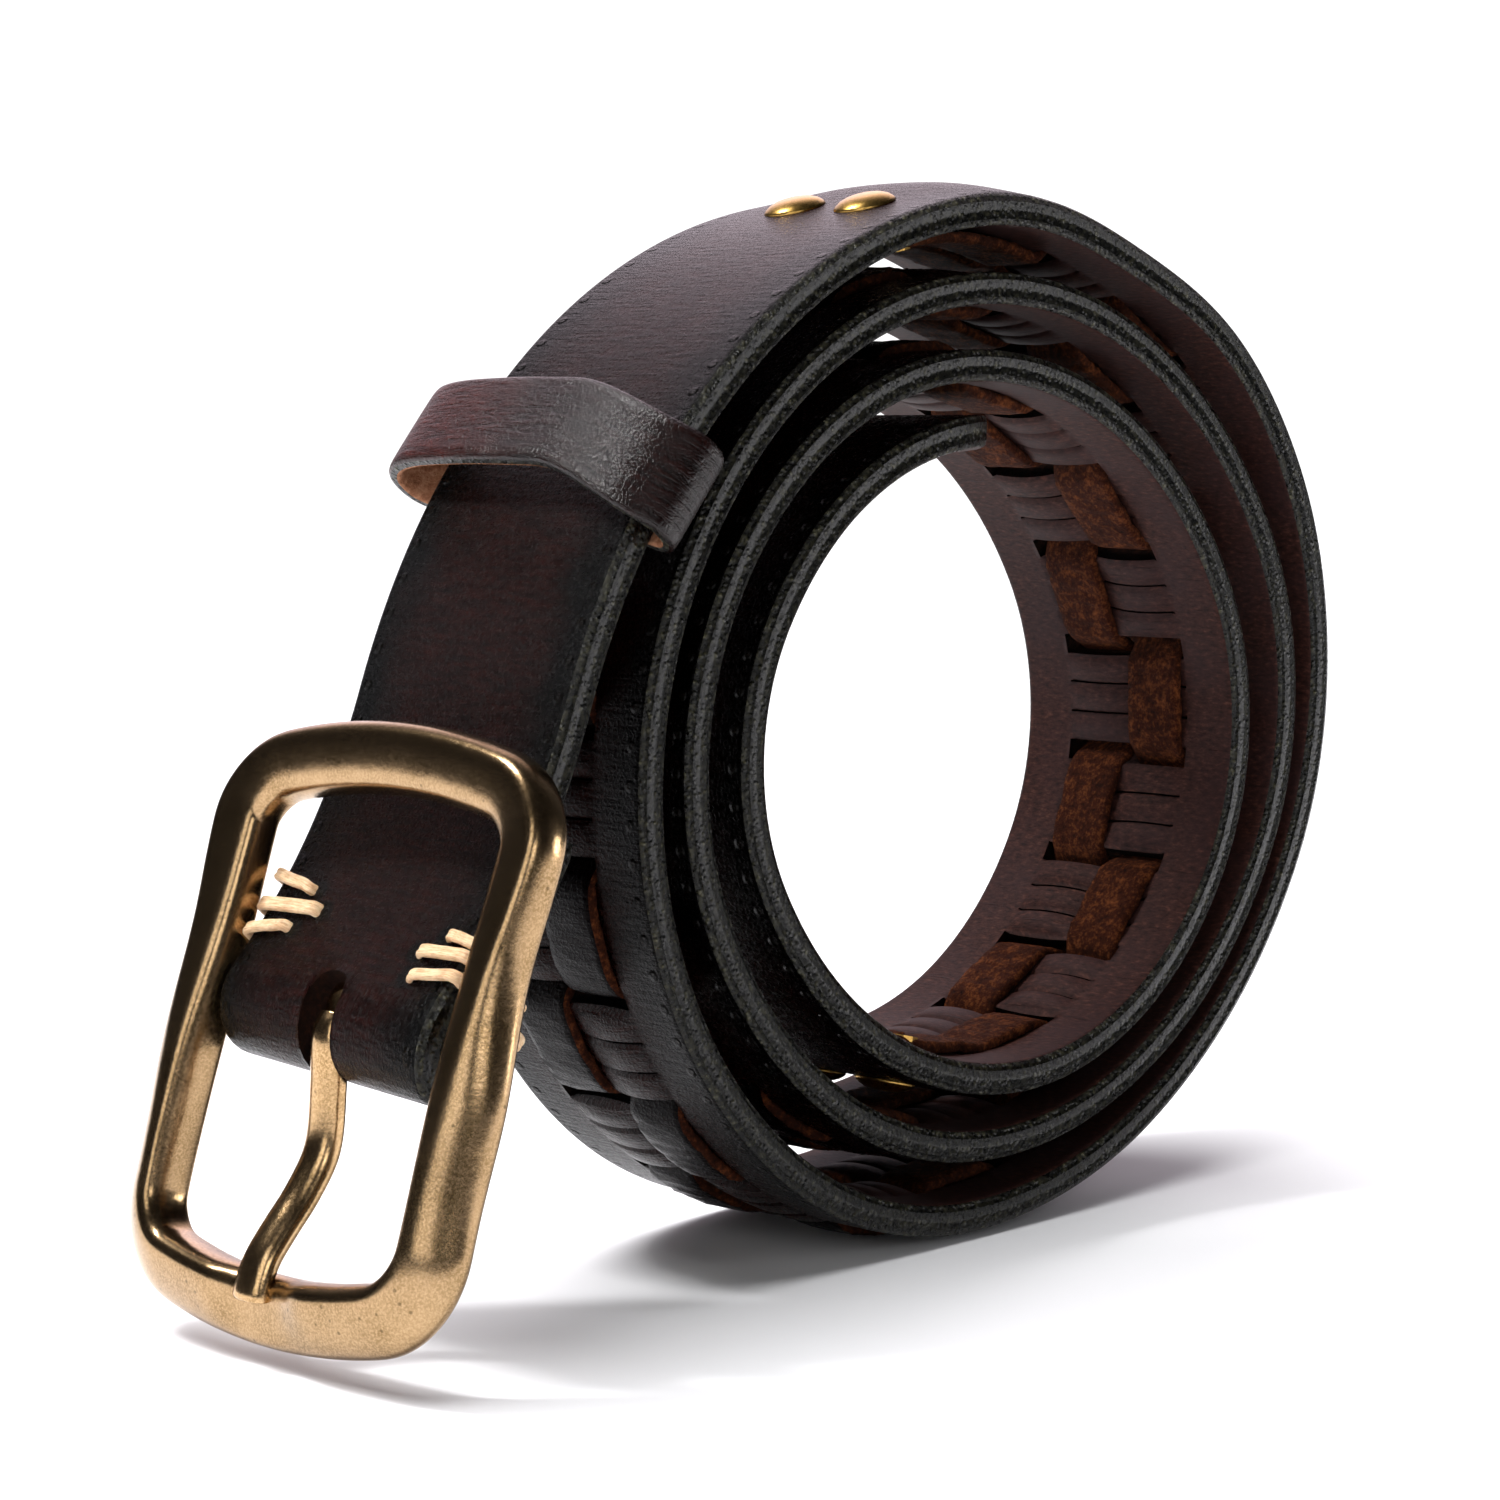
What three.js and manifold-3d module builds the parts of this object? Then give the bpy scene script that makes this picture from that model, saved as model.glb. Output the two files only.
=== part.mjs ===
// Leather belt, rolled up and standing on its outer face like a wheel.
// Millimetres, +Z up, the floor at Z = 0. The strap's width runs along Y, so the coil is a
// spiral in the XZ plane. The buckle hangs off the top of the coil on the -X side.
import * as THREE from "three";
import { mergeVertices } from "three/addons/utils/BufferGeometryUtils.js";
import Module from "manifold-3d";

const wasm = await Module();
wasm.setup();

// ---------------------------------------------------------------- driving dimensions
const STRAP_WIDTH = 38;
const STRAP_THICK = 3.6;
const GAP = 0.3; // between pieces that rest on each other

// The strap's outer face is a chain of tangent arcs. The coil starts at the top of the
// outermost turn and each radius holds for a sixth of a turn, outermost turn first.
const COIL_RADII = [
  [71, 60, 81.5, 63, 60.5, 67.5],
  [69.5, 48, 68, 62, 47.5, 56.5],
  [61.5, 42, 51, 57.5, 36.5, 49],
];
const COIL_SWEEP = 60; // degrees of turn per radius
// The tail runs from the same top point down to the buckle: radius and length of each arc.
// A negative radius bends the other way.
const TAIL_ARCS = [[82.5, 45], [95, 45], [100, 20.8], [-89, 40]];

const FOLD_AT = -149; // strap position where the fold round the buckle bar begins
const FOLD_LEG = 24; // length of the turned-back end behind the strap
const TIP_AT = 1112; // strap position of the rounded tip
const TIP_LENGTH = 18; // length of the rounded end

const FIRST_SLIT = 15; // strap position of the first full-width crossing slit
const SLIT_PITCH = 17.33; // one group of three bars
const SLIT_COUNT = 55;
const SLIT_LENGTH = 3.2;
const SLIT_WIDTH = 21.2;
const LACE_WIDTH = 9.4;
const LACE_THICK = 1.0;
const LACE_CENTRE = 5.3; // each lace runs this far to one side of the strap's centre line
const LACE_TAIL = 24; // how far each lace end runs under the strap past the outermost slits

const RIVET_HEAD = 8.2; // head diameter
const RIVET_DOME = 1.9; // head height
const RIVET_SHANK = 2.6;
const RIVET_SIDE = 6.5; // distance either side of the centre line
const RIVETS_AT = [-16, 967];

const HOLE_FIRST = 983; // adjusting holes
const HOLE_PITCH = 22;
const HOLE_COUNT = 5;
const HOLE_DIAMETER = 4.5;

const BUCKLE_LEAN = 18.5; // degrees from upright
const BUCKLE_WIDTH = 57.2;
const WINDOW_WIDTH = 42;
const FRAME_TOP = 34.3; // bar axis to the outer edge of each end
const FRAME_BOTTOM = 41;
const FRAME_END_WIDTH = 8;
const FRAME_THICK = 4.8;
const FRAME_FRONT = 2.4; // the frame's mid plane stands this far in front of the bar axis
const OUTER_CORNER = 15;
const INNER_CORNER = 9;
const BAR_RADIUS = 2.4;
const BOSS_RADIUS = 3.4; // the side bars thicken round the bar's ends

const PRONG_WIDTH = 4.8;
const PRONG_THICK = 3.2; // tapering by a quarter to the tip
const PRONG_LOOP = 1.9; // thickness of the eye that wraps the bar
const PRONG_SLOT = 6.2;

const KEEPER_AT = -76.5;
const KEEPER_WIDTH = 13;
const KEEPER_THICK = 2;
const KEEPER_HALF = 23.9; // half width of the loop's centre line
const KEEPER_HEIGHT = 5.2; // half height of the loop's centre line
const KEEPER_SHIFT = 1.8; // the loop hangs out past the strap's far edge
const KEEPER_RISE = 1; // the loop's middle above the strap's mid surface

const TIE_WIDTH = 2.6;
const TIE_THICK = 1;
const TIE_MIDDLE = 8.2; // middle strand, above the start of the fold
const TIE_STEP = 3.7;
const TIE_REACH = [5, 8.5, 5]; // how far in from the strap edge each strand starts

const FLOOR_BELOW = 137.55; // from the top of the coil's outer face down to the floor
const CENTRE_X = -23.87; // middle of the whole belt, from the top of the coil

const rad = THREE.MathUtils.degToRad;

// ---------------------------------------------------------------- the strap's path
function arcStep(at, radius, length) {
  const turn = length / radius;
  const end = at.heading + turn;
  return {
    s: at.s + length,
    heading: end,
    x: at.x + radius * (Math.sin(end) - Math.sin(at.heading)),
    z: at.z + radius * (Math.cos(end) - Math.cos(at.heading)),
  };
}

function chain(start, arcs, sign) {
  const nodes = [];
  let at = start;
  for (const [radius, length] of arcs) {
    nodes.push({ ...at, radius });
    at = arcStep(at, radius, sign * length);
  }
  return nodes;
}

const pathStart = { s: 0, heading: 0, x: -CENTRE_X, z: FLOOR_BELOW };
const coilArcs = COIL_RADII.flat().map((radius) => [radius, radius * rad(COIL_SWEEP)]);
const coilNodes = chain(pathStart, coilArcs, 1);
const tailNodes = chain(pathStart, TAIL_ARCS, -1);

// Point, heading and outward normal of the strap's outer face at position s.
function onPath(s) {
  const nodes = s >= 0 ? coilNodes : tailNodes;
  const reached = nodes.filter((node) => (s >= 0 ? node.s <= s : node.s >= s));
  const node = reached[reached.length - 1];
  return arcStep(node, node.radius, s - node.s);
}

// XZ point at position s, raised from the strap's mid surface by rise (+ is outward).
function strapPoint(s, rise) {
  const at = onPath(s);
  const down = STRAP_THICK / 2 - rise;
  return new THREE.Vector2(at.x - down * Math.sin(at.heading), at.z - down * Math.cos(at.heading));
}

// Local frame on the strap's mid surface: X along the strap, Z outward.
function strapFrame(s) {
  const at = onPath(s);
  const origin = strapPoint(s, 0);
  const along = new THREE.Vector3(Math.cos(at.heading), 0, -Math.sin(at.heading));
  const out = new THREE.Vector3(Math.sin(at.heading), 0, Math.cos(at.heading));
  const side = new THREE.Vector3().crossVectors(out, along);
  return new THREE.Matrix4().makeBasis(along, side, out).setPosition(origin.x, 0, origin.y);
}

function evenSteps(from, to, step) {
  const count = Math.max(1, Math.round(Math.abs(to - from) / step));
  return Array.from({ length: count + 1 }, (_, i) => from + ((to - from) * i) / count);
}

const slitStarts = Array.from({ length: SLIT_COUNT }, (_, i) => FIRST_SLIT + i * SLIT_PITCH);
const lastSlit = slitStarts[SLIT_COUNT - 1];
const barMiddle = (SLIT_PITCH + SLIT_LENGTH) / 2;

// Positions along the woven stretch that the strap and both laces share.
function wovenStations() {
  return slitStarts.flatMap((s, i) => {
    const own = [s, s + SLIT_LENGTH];
    return i < SLIT_COUNT - 1 ? [...own, s + barMiddle] : own;
  });
}

// ---------------------------------------------------------------- solids
function solidOf(geometry) {
  const bare = geometry.clone();
  bare.deleteAttribute("normal");
  bare.deleteAttribute("uv");
  const joined = mergeVertices(bare, 1e-4);
  const mesh = new wasm.Mesh({
    numProp: 3,
    vertProperties: new Float32Array(joined.attributes.position.array),
    triVerts: new Uint32Array(joined.index.array),
  });
  return new wasm.Manifold(mesh);
}

function geometryOf(solid) {
  const mesh = solid.getMesh();
  const geometry = new THREE.BufferGeometry();
  geometry.setAttribute("position", new THREE.BufferAttribute(mesh.vertProperties, 3));
  geometry.setIndex(new THREE.BufferAttribute(mesh.triVerts, 1));
  geometry.computeVertexNormals();
  return geometry;
}

function cut(geometry, cutters) {
  const solid = cutters.reduce((left, cutter) => left.subtract(solidOf(cutter)), solidOf(geometry));
  return geometryOf(solid);
}

function join(parts) {
  return geometryOf(parts.map(solidOf).reduce((left, right) => left.add(right)));
}

// Extrudes an outline drawn in XZ over a width along Y, centred on Y = 0.
function slab(outline, width, holes = []) {
  const shape = outline instanceof THREE.Shape ? outline : new THREE.Shape(outline);
  for (const hole of holes) {
    shape.holes.push(new THREE.Path(hole));
  }
  const options = { depth: width, bevelEnabled: false, curveSegments: 6 };
  const geometry = new THREE.ExtrudeGeometry(shape, options);
  geometry.translate(0, 0, -width / 2);
  geometry.rotateX(Math.PI / 2);
  return geometry;
}

function box(lengthX, widthY, heightZ, x, y, z) {
  return new THREE.BoxGeometry(lengthX, widthY, heightZ).translate(x, y, z);
}

// A round bar standing along local Z.
function pin(diameter, height, x, y, z, sides) {
  const geometry = new THREE.CylinderGeometry(diameter / 2, diameter / 2, height, sides);
  return geometry.rotateX(Math.PI / 2).translate(x, y, z);
}

function ring(radius, count, centre = [0, 0]) {
  return Array.from({ length: count }, (_, i) => {
    const angle = (2 * Math.PI * i) / count;
    return new THREE.Vector2(centre[0] + radius * Math.cos(angle), centre[1] + radius * Math.sin(angle));
  });
}

// ---------------------------------------------------------------- strap
const foldFrame = strapFrame(FOLD_AT);
const foldInner = BAR_RADIUS + GAP;
const foldOuter = foldInner + STRAP_THICK;
const barDrop = foldInner + STRAP_THICK / 2; // bar axis below the strap's mid surface

function foldPoint(radius, degrees) {
  const local = new THREE.Vector3(-Math.sin(rad(degrees)), 0, Math.cos(rad(degrees)));
  local.multiplyScalar(radius).setZ(local.z - barDrop);
  const world = local.applyMatrix4(foldFrame);
  return new THREE.Vector2(world.x, world.z);
}

// The turned-back leg closes up on the strap's back over the first part of its length.
function legRise(run) {
  const wide = -2 * barDrop;
  const close = -(STRAP_THICK + GAP + 0.1);
  const blend = THREE.MathUtils.smoothstep(run, 0, 10);
  return wide + (close - wide) * blend;
}

function strapOutline() {
  const half = STRAP_THICK / 2;
  const tail = evenSteps(FOLD_AT, FIRST_SLIT, 6.6);
  const tip = evenSteps(lastSlit + SLIT_LENGTH, TIP_AT, 6.6);
  const run = [...tail.slice(0, -1), ...wovenStations(), ...tip.slice(1)];
  const leg = evenSteps(0, FOLD_LEG, 3);
  const bend = evenSteps(0, 180, 22.5).slice(1, -1);
  return [
    ...run.map((s) => strapPoint(s, -half)),
    ...[...run].reverse().map((s) => strapPoint(s, half)),
    ...bend.map((a) => foldPoint(foldOuter, a)),
    ...leg.map((r) => strapPoint(FOLD_AT + r, legRise(r) - half)),
    ...[...leg].reverse().map((r) => strapPoint(FOLD_AT + r, legRise(r) + half)),
    ...[...bend].reverse().map((a) => foldPoint(foldInner, a)),
  ];
}

// Everything past a half ellipse, to round the tip off.
function tipCutter() {
  const half = STRAP_WIDTH / 2;
  const shape = new THREE.Shape();
  shape.moveTo(0, -half - 2);
  shape.lineTo(TIP_LENGTH + 6, -half - 2);
  shape.lineTo(TIP_LENGTH + 6, half + 2);
  shape.lineTo(0, half + 2);
  shape.lineTo(0, half);
  for (const a of evenSteps(90, -90, 15).slice(1)) {
    shape.lineTo(TIP_LENGTH * Math.cos(rad(a)), half * Math.sin(rad(a)));
  }
  const geometry = new THREE.ExtrudeGeometry(shape, { depth: 11, bevelEnabled: false });
  return geometry.translate(0, 0, -8).applyMatrix4(strapFrame(TIP_AT - TIP_LENGTH));
}

const rivetSpots = RIVETS_AT.flatMap((s) => [[s, -RIVET_SIDE], [s, RIVET_SIDE]]);

function rivetHole([s, side]) {
  return pin(RIVET_SHANK + 2 * GAP, 12, 0, side, 0, 10).applyMatrix4(strapFrame(s));
}

function strap() {
  const slits = slitStarts.map((s) => {
    const cutter = box(SLIT_LENGTH, SLIT_WIDTH, STRAP_THICK + 1, 0, 0, 0);
    return cutter.applyMatrix4(strapFrame(s + SLIT_LENGTH / 2));
  });
  const holes = Array.from({ length: HOLE_COUNT }, (_, i) => {
    const cutter = pin(HOLE_DIAMETER, STRAP_THICK + 1, 0, 0, 0, 10);
    return cutter.applyMatrix4(strapFrame(HOLE_FIRST + i * HOLE_PITCH));
  });
  const prongSlot = box(19, PRONG_SLOT, 24, 1.5, 0, -barDrop).applyMatrix4(foldFrame);
  const rivetHoles = rivetSpots.map(rivetHole);
  const cutters = [...slits, ...holes, ...rivetHoles, prongSlot, tipCutter()];
  return cut(slab(strapOutline(), STRAP_WIDTH), cutters);
}

// ---------------------------------------------------------------- laces
// A lace lies outside the strap over one group of bars and inside it over the next.
function laceStations(outsideFirst) {
  const rise = STRAP_THICK / 2 + GAP + LACE_THICK / 2;
  const inside = (s) => [s, -rise];
  const stations = evenSteps(FIRST_SLIT - LACE_TAIL - 12, FIRST_SLIT, 6).slice(0, -1).map(inside);
  let side = -1;
  slitStarts.forEach((s, i) => {
    const isLast = i === SLIT_COUNT - 1;
    const outside = (i % 2 === 0) === outsideFirst && !isLast;
    const next = outside ? 1 : -1;
    stations.push([s, side * rise], [s + SLIT_LENGTH, next * rise]);
    if (!isLast) {
      stations.push([s + barMiddle, next * rise]);
    }
    side = next;
  });
  const end = evenSteps(lastSlit + SLIT_LENGTH, lastSlit + LACE_TAIL, 6).slice(1).map(inside);
  return [...stations, ...end];
}

function lace(side, outsideFirst) {
  const half = LACE_THICK / 2;
  const stations = laceStations(outsideFirst);
  const lower = stations.map(([s, rise]) => strapPoint(s, rise - half));
  const upper = [...stations].reverse().map(([s, rise]) => strapPoint(s, rise + half));
  const ribbon = slab([...lower, ...upper], LACE_WIDTH).translate(0, side * LACE_CENTRE, 0);
  const holes = rivetSpots.filter(([, y]) => Math.sign(y) === side).map(rivetHole);
  return cut(ribbon, holes);
}

// ---------------------------------------------------------------- rivets
function rivetCap([s, side]) {
  const radius = RIVET_HEAD / 2;
  const profile = [new THREE.Vector2(0, 0), new THREE.Vector2(radius, 0)];
  for (const a of evenSteps(15, 75, 20)) {
    profile.push(new THREE.Vector2(radius * Math.cos(rad(a)), RIVET_DOME * Math.sin(rad(a))));
  }
  profile.push(new THREE.Vector2(0, RIVET_DOME));
  const geometry = new THREE.LatheGeometry(profile, 16).rotateX(Math.PI / 2);
  return geometry.translate(0, side, STRAP_THICK / 2 + GAP).applyMatrix4(strapFrame(s));
}

function rivetPost([s, side]) {
  const top = STRAP_THICK / 2;
  const laceBack = -(STRAP_THICK / 2 + GAP + LACE_THICK);
  const flangeTop = laceBack - GAP;
  const shankHeight = top - flangeTop + 0.4;
  const shank = pin(RIVET_SHANK, shankHeight, 0, side, top - shankHeight / 2, 10);
  const flange = pin(RIVET_HEAD - 1.6, 0.8, 0, side, flangeTop - 0.4, 14);
  return join([flange, shank]).applyMatrix4(strapFrame(s));
}

// ---------------------------------------------------------------- buckle
const barAxis = new THREE.Vector3(0, 0, -barDrop).applyMatrix4(foldFrame);
const lean = rad(BUCKLE_LEAN);
const downAlong = new THREE.Vector3(-Math.sin(lean), 0, -Math.cos(lean));
const frontOut = new THREE.Vector3(-Math.cos(lean), 0, Math.sin(lean));
const acrossBuckle = new THREE.Vector3().crossVectors(frontOut, downAlong);
// Buckle frame of reference: X down the buckle from the bar, Z out of its front.
const buckleFrame = new THREE.Matrix4().makeBasis(downAlong, acrossBuckle, frontOut);
buckleFrame.setPosition(barAxis);

function roundedRect(path, x0, x1, halfY, corner) {
  path.moveTo(x0 + corner, -halfY);
  path.lineTo(x1 - corner, -halfY);
  path.absarc(x1 - corner, -halfY + corner, corner, -Math.PI / 2, 0);
  path.lineTo(x1, halfY - corner);
  path.absarc(x1 - corner, halfY - corner, corner, 0, Math.PI / 2);
  path.lineTo(x0 + corner, halfY);
  path.absarc(x0 + corner, halfY - corner, corner, Math.PI / 2, Math.PI);
  path.lineTo(x0, -halfY + corner);
  path.absarc(x0 + corner, -halfY + corner, corner, Math.PI, 1.5 * Math.PI);
  return path;
}

function frameBody() {
  const bevel = 1.4;
  const shape = roundedRect(
    new THREE.Shape(), -FRAME_TOP + bevel, FRAME_BOTTOM - bevel, BUCKLE_WIDTH / 2 - bevel, OUTER_CORNER - bevel,
  );
  const window = roundedRect(
    new THREE.Path(), -FRAME_TOP + FRAME_END_WIDTH - bevel, FRAME_BOTTOM - FRAME_END_WIDTH + bevel,
    WINDOW_WIDTH / 2 + bevel, INNER_CORNER + bevel,
  );
  shape.holes.push(window);
  const geometry = new THREE.ExtrudeGeometry(shape, {
    depth: FRAME_THICK - 2 * bevel,
    bevelThickness: bevel,
    bevelSize: bevel,
    bevelSegments: 2,
    curveSegments: 5,
  });
  geometry.translate(0, 0, FRAME_FRONT - FRAME_THICK / 2 + bevel);
  const bar = new THREE.CylinderGeometry(BAR_RADIUS, BAR_RADIUS, WINDOW_WIDTH + 3, 14);
  const bossLength = (BUCKLE_WIDTH - WINDOW_WIDTH) / 2 - 0.8;
  const bosses = [-1, 1].map((side) => {
    const boss = new THREE.CylinderGeometry(BOSS_RADIUS, BOSS_RADIUS, bossLength, 14);
    return boss.translate(0, side * (WINDOW_WIDTH + bossLength + 0.4) / 2, 0);
  });
  return join([geometry, bar, ...bosses]).applyMatrix4(buckleFrame);
}

// Centre line of the prong, from in front of the bar to its tip on the frame's lower end.
const prongLine = new THREE.CatmullRomCurve3([
  new THREE.Vector3(-1.2, 0, 3.9),
  new THREE.Vector3(3, 0, 4.4),
  new THREE.Vector3(9, 0, 2.8),
  new THREE.Vector3(16, 0, 1.6),
  new THREE.Vector3(23, 0, 3.4),
  new THREE.Vector3(28.5, 0, 5.9),
  new THREE.Vector3(33, 0, 6.6),
  new THREE.Vector3(38.4, 0, 6.6),
]);

function prong() {
  const spots = evenSteps(0, 1, 1 / 16);
  const edge = (side) => spots.map((u) => {
    const half = (PRONG_THICK / 2) * (1 - 0.25 * u);
    const point = prongLine.getPoint(u);
    const heading = prongLine.getTangent(u);
    return new THREE.Vector2(point.x - side * half * heading.z, point.z + side * half * heading.x);
  });
  const shank = slab([...edge(-1), ...edge(1).reverse()], PRONG_WIDTH);
  const eye = slab(ring(BAR_RADIUS + GAP + PRONG_LOOP, 20), PRONG_WIDTH);
  const bore = slab(ring(BAR_RADIUS + GAP, 16), PRONG_WIDTH + 2);
  return cut(join([shank, eye]), [bore]).applyMatrix4(buckleFrame);
}

// ---------------------------------------------------------------- keeper
function keeperLoop(grow) {
  return evenSteps(0, 360, 12).slice(0, -1).map((a) => {
    const c = Math.cos(rad(a));
    const s = Math.sin(rad(a));
    const across = Math.sign(c) * Math.abs(c) ** 0.6 * (KEEPER_HALF + grow) + KEEPER_SHIFT;
    const up = Math.sign(s) * Math.abs(s) ** 0.45 * (KEEPER_HEIGHT + grow) + KEEPER_RISE;
    return new THREE.Vector2(across, up);
  });
}

function keeper() {
  const shape = new THREE.Shape(keeperLoop(KEEPER_THICK / 2));
  shape.holes.push(new THREE.Path(keeperLoop(-KEEPER_THICK / 2)));
  const geometry = new THREE.ExtrudeGeometry(shape, { depth: KEEPER_WIDTH, bevelEnabled: false });
  // The outline is drawn across and up; its depth becomes the direction along the strap.
  const toStrap = new THREE.Matrix4().makeBasis(
    new THREE.Vector3(0, 1, 0), new THREE.Vector3(0, 0, 1), new THREE.Vector3(1, 0, 0),
  );
  geometry.translate(0, 0, -KEEPER_WIDTH / 2).applyMatrix4(toStrap);
  return geometry.applyMatrix4(strapFrame(KEEPER_AT));
}

// ---------------------------------------------------------------- ties
// Three strands of lace wrapped over one strap edge, joined by a run down the back of the leg.
function tie(side) {
  const edge = STRAP_WIDTH / 2 + GAP;
  const top = STRAP_THICK / 2 + GAP;
  const back = legRise(TIE_MIDDLE - TIE_STEP) - STRAP_THICK / 2 - 2 * GAP;
  const wallHeight = top - back + 2 * TIE_THICK;
  const wallZ = back - TIE_THICK + wallHeight / 2;
  const pieces = TIE_REACH.flatMap((reach, i) => {
    const step = (i - 1) * TIE_STEP;
    const plateWidth = reach + GAP + TIE_THICK;
    const plateY = side * (edge + TIE_THICK - plateWidth / 2);
    return [
      box(TIE_WIDTH, plateWidth, TIE_THICK, step, plateY, top + TIE_THICK / 2),
      box(TIE_WIDTH, TIE_THICK, wallHeight, step, side * (edge + TIE_THICK / 2), wallZ),
    ];
  });
  const spineLength = 2 * TIE_STEP + TIE_WIDTH;
  const spineY = side * (edge + TIE_THICK - 3);
  pieces.push(box(spineLength, 6, TIE_THICK, 0, spineY, back - TIE_THICK / 2));
  return join(pieces).applyMatrix4(strapFrame(FOLD_AT + TIE_MIDDLE));
}

// ---------------------------------------------------------------- assembly
const group = new THREE.Group();
group.name = "leather_belt";

function add(name, geometry, colour, metalness, roughness) {
  const material = new THREE.MeshStandardMaterial({ color: colour, metalness, roughness });
  material.name = name;
  const mesh = new THREE.Mesh(geometry, material);
  mesh.name = name;
  group.add(mesh);
}

const DARK_LEATHER = 0x3a241c;
const SUEDE = 0x7a4424;
const BRASS = 0x9a8250;
const RAWHIDE = 0xe0c49a;

add("strap", strap(), DARK_LEATHER, 0, 0.5);
add("lace_near", lace(-1, true), SUEDE, 0, 0.8);
add("lace_far", lace(1, false), SUEDE, 0, 0.8);
add("buckle_frame", frameBody(), BRASS, 0.9, 0.35);
add("buckle_prong", prong(), BRASS, 0.9, 0.35);
add("keeper", keeper(), DARK_LEATHER, 0, 0.4);
add("tie_near", tie(-1), RAWHIDE, 0, 0.8);
add("tie_far", tie(1), RAWHIDE, 0, 0.8);
rivetSpots.forEach((spot, i) => {
  add(`rivet_cap_${i + 1}`, rivetCap(spot), BRASS, 0.9, 0.3);
  add(`rivet_post_${i + 1}`, rivetPost(spot), BRASS, 0.9, 0.3);
});

export default group;
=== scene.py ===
import math

import bmesh
import bpy
import numpy as np
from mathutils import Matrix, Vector


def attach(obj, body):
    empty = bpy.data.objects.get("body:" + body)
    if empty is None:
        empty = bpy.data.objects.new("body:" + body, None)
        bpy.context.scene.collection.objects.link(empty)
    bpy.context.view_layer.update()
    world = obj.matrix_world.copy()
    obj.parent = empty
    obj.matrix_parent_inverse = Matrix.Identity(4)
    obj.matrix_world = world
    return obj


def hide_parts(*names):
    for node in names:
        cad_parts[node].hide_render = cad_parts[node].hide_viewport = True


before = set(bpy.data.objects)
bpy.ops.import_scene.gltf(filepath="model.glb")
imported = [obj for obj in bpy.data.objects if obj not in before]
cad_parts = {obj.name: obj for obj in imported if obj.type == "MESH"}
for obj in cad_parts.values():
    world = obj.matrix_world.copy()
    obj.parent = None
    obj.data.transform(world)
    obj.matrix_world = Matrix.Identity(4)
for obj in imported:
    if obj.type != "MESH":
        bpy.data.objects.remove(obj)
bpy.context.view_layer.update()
MM = 0.001
rng = np.random.default_rng(7)

# ------------------------------------------------------------------ dimensions, as in the CAD
CAD_THICK = 3.6
COIL_RADII = [  # each holds for 60 degrees of turn
    71, 60, 81.5, 63, 60.5, 67.5,
    69.5, 48, 68, 62, 47.5, 56.5,
    61.5, 42, 51, 57.5, 36.5, 49,
]
TAIL_ARCS = [(82.5, 45), (95, 45), (100, 20.8), (-89, 40)]  # radius and length
TOP_X = 23.87  # the strap's outer face at s = 0
TOP_Z = 137.55
FOLD_AT = -149  # where the fold round the buckle's bar begins
FOLD_LEG = 24  # length of the turned-back end
TIP_AT = 1112
TIP_LENGTH = 18
FIRST_SLIT = 15
SLIT_PITCH = 17.33
SLIT_COUNT = 55
SLIT_LENGTH = 3.2
SLIT_HALF = 10.6  # half of a slit's reach across the strap
LACE_CENTRE = 5.3  # each lace runs this far to one side of the strap's middle
HOLE_FIRST = 983
HOLE_PITCH = 22
HOLE_COUNT = 5
HOLE_RADIUS = 2.25
BUCKLE_LEAN = 18.5  # degrees from upright
BAR_RADIUS = 2.4
BAR_DROP = 4.5  # bar axis below the strap's middle surface
KEEPER_AT = -76.5

# ------------------------------------------------------------------ dimensions of the looks
THICK = 4.2
HALF_T = THICK / 2
HALF_W = 19.0
EDGE_ROUND = 0.95
SLIT_ROUND = 0.5
SETTLE = 2.0  # how far the outer turn has sunk
SETTLE_AT = 25  # where it has sunk most
SETTLE_SPREAD = 20
BELLY = 2.2  # how far the strap swells over the lace ends
BELLY_AT = -5
BELLY_SPREAD = 9
FOLD_SAG = 2.6  # how far the fold's near side hangs lower than its far side
FOLD_SLACK = 0.5
LEG_GAP = 0.4  # between the tail and the turned-back leg, over the CAD thickness
LEG_EASE = 10  # the leg comes up to the tail within this length
PUSH = 0.8  # how far the woven bars bow in and out
THIN_SLIT = 0.3  # the cuts between the three bars of a group
PRICK_PITCH = 4.7  # awl marks along each edge
PRICK_SIDE = 17.0
SLOT_HALF = 3.0  # half width of the prong's slot
SLOT_REACH = 11.0  # how far the slot runs up the turned-back leg
LACE_THICK = 1.7
LACE_HALF = 4.55
LACE_GAP = 0.1
LACE_END = 24  # length of the lace ends past the last slit
LACE_START = 30  # and before the first one
LACE_END_DROP = 0.9  # how much deeper those ends lie inside
RIVETS_AT = [-18.6, 967]
RIVET_SIDE = 6.2
RIVET_TOP = 1.6
RIVET_SINK = 0.1
RIVET_PROFILE = [  # radius and height, from its top down
    (1.3, 1.54), (2.4, 1.34), (3.3, 0.98), (3.9, 0.52), (4.15, 0.2), (4.0, 0.0), (3.2, 0.0),
]
# the keeper's centre line: across the strap, above its middle surface
KEEPER_LOOP = [
    (26.4, 1.0), (25.5, 3.3), (22.6, 5.1), (17, 6.1), (8.5, 6.5), (0, 6.4), (-6, 6.1), (-11, 5.5),
    (-15.5, 4.6), (-19.5, 3.2), (-22.0, 1.6), (-22.7, 0.0), (-22.4, -2.1), (-20.3, -3.4),
    (-14, -3.75), (-5, -3.75), (5, -3.75), (14, -3.75), (22, -3.4), (25.5, -1.6),
]
KEEPER_PULL = 5.0  # how far the keeper's near side sits nearer the buckle
KEEPER_WIDEN = 0.08  # and how much wider it is there
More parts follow.
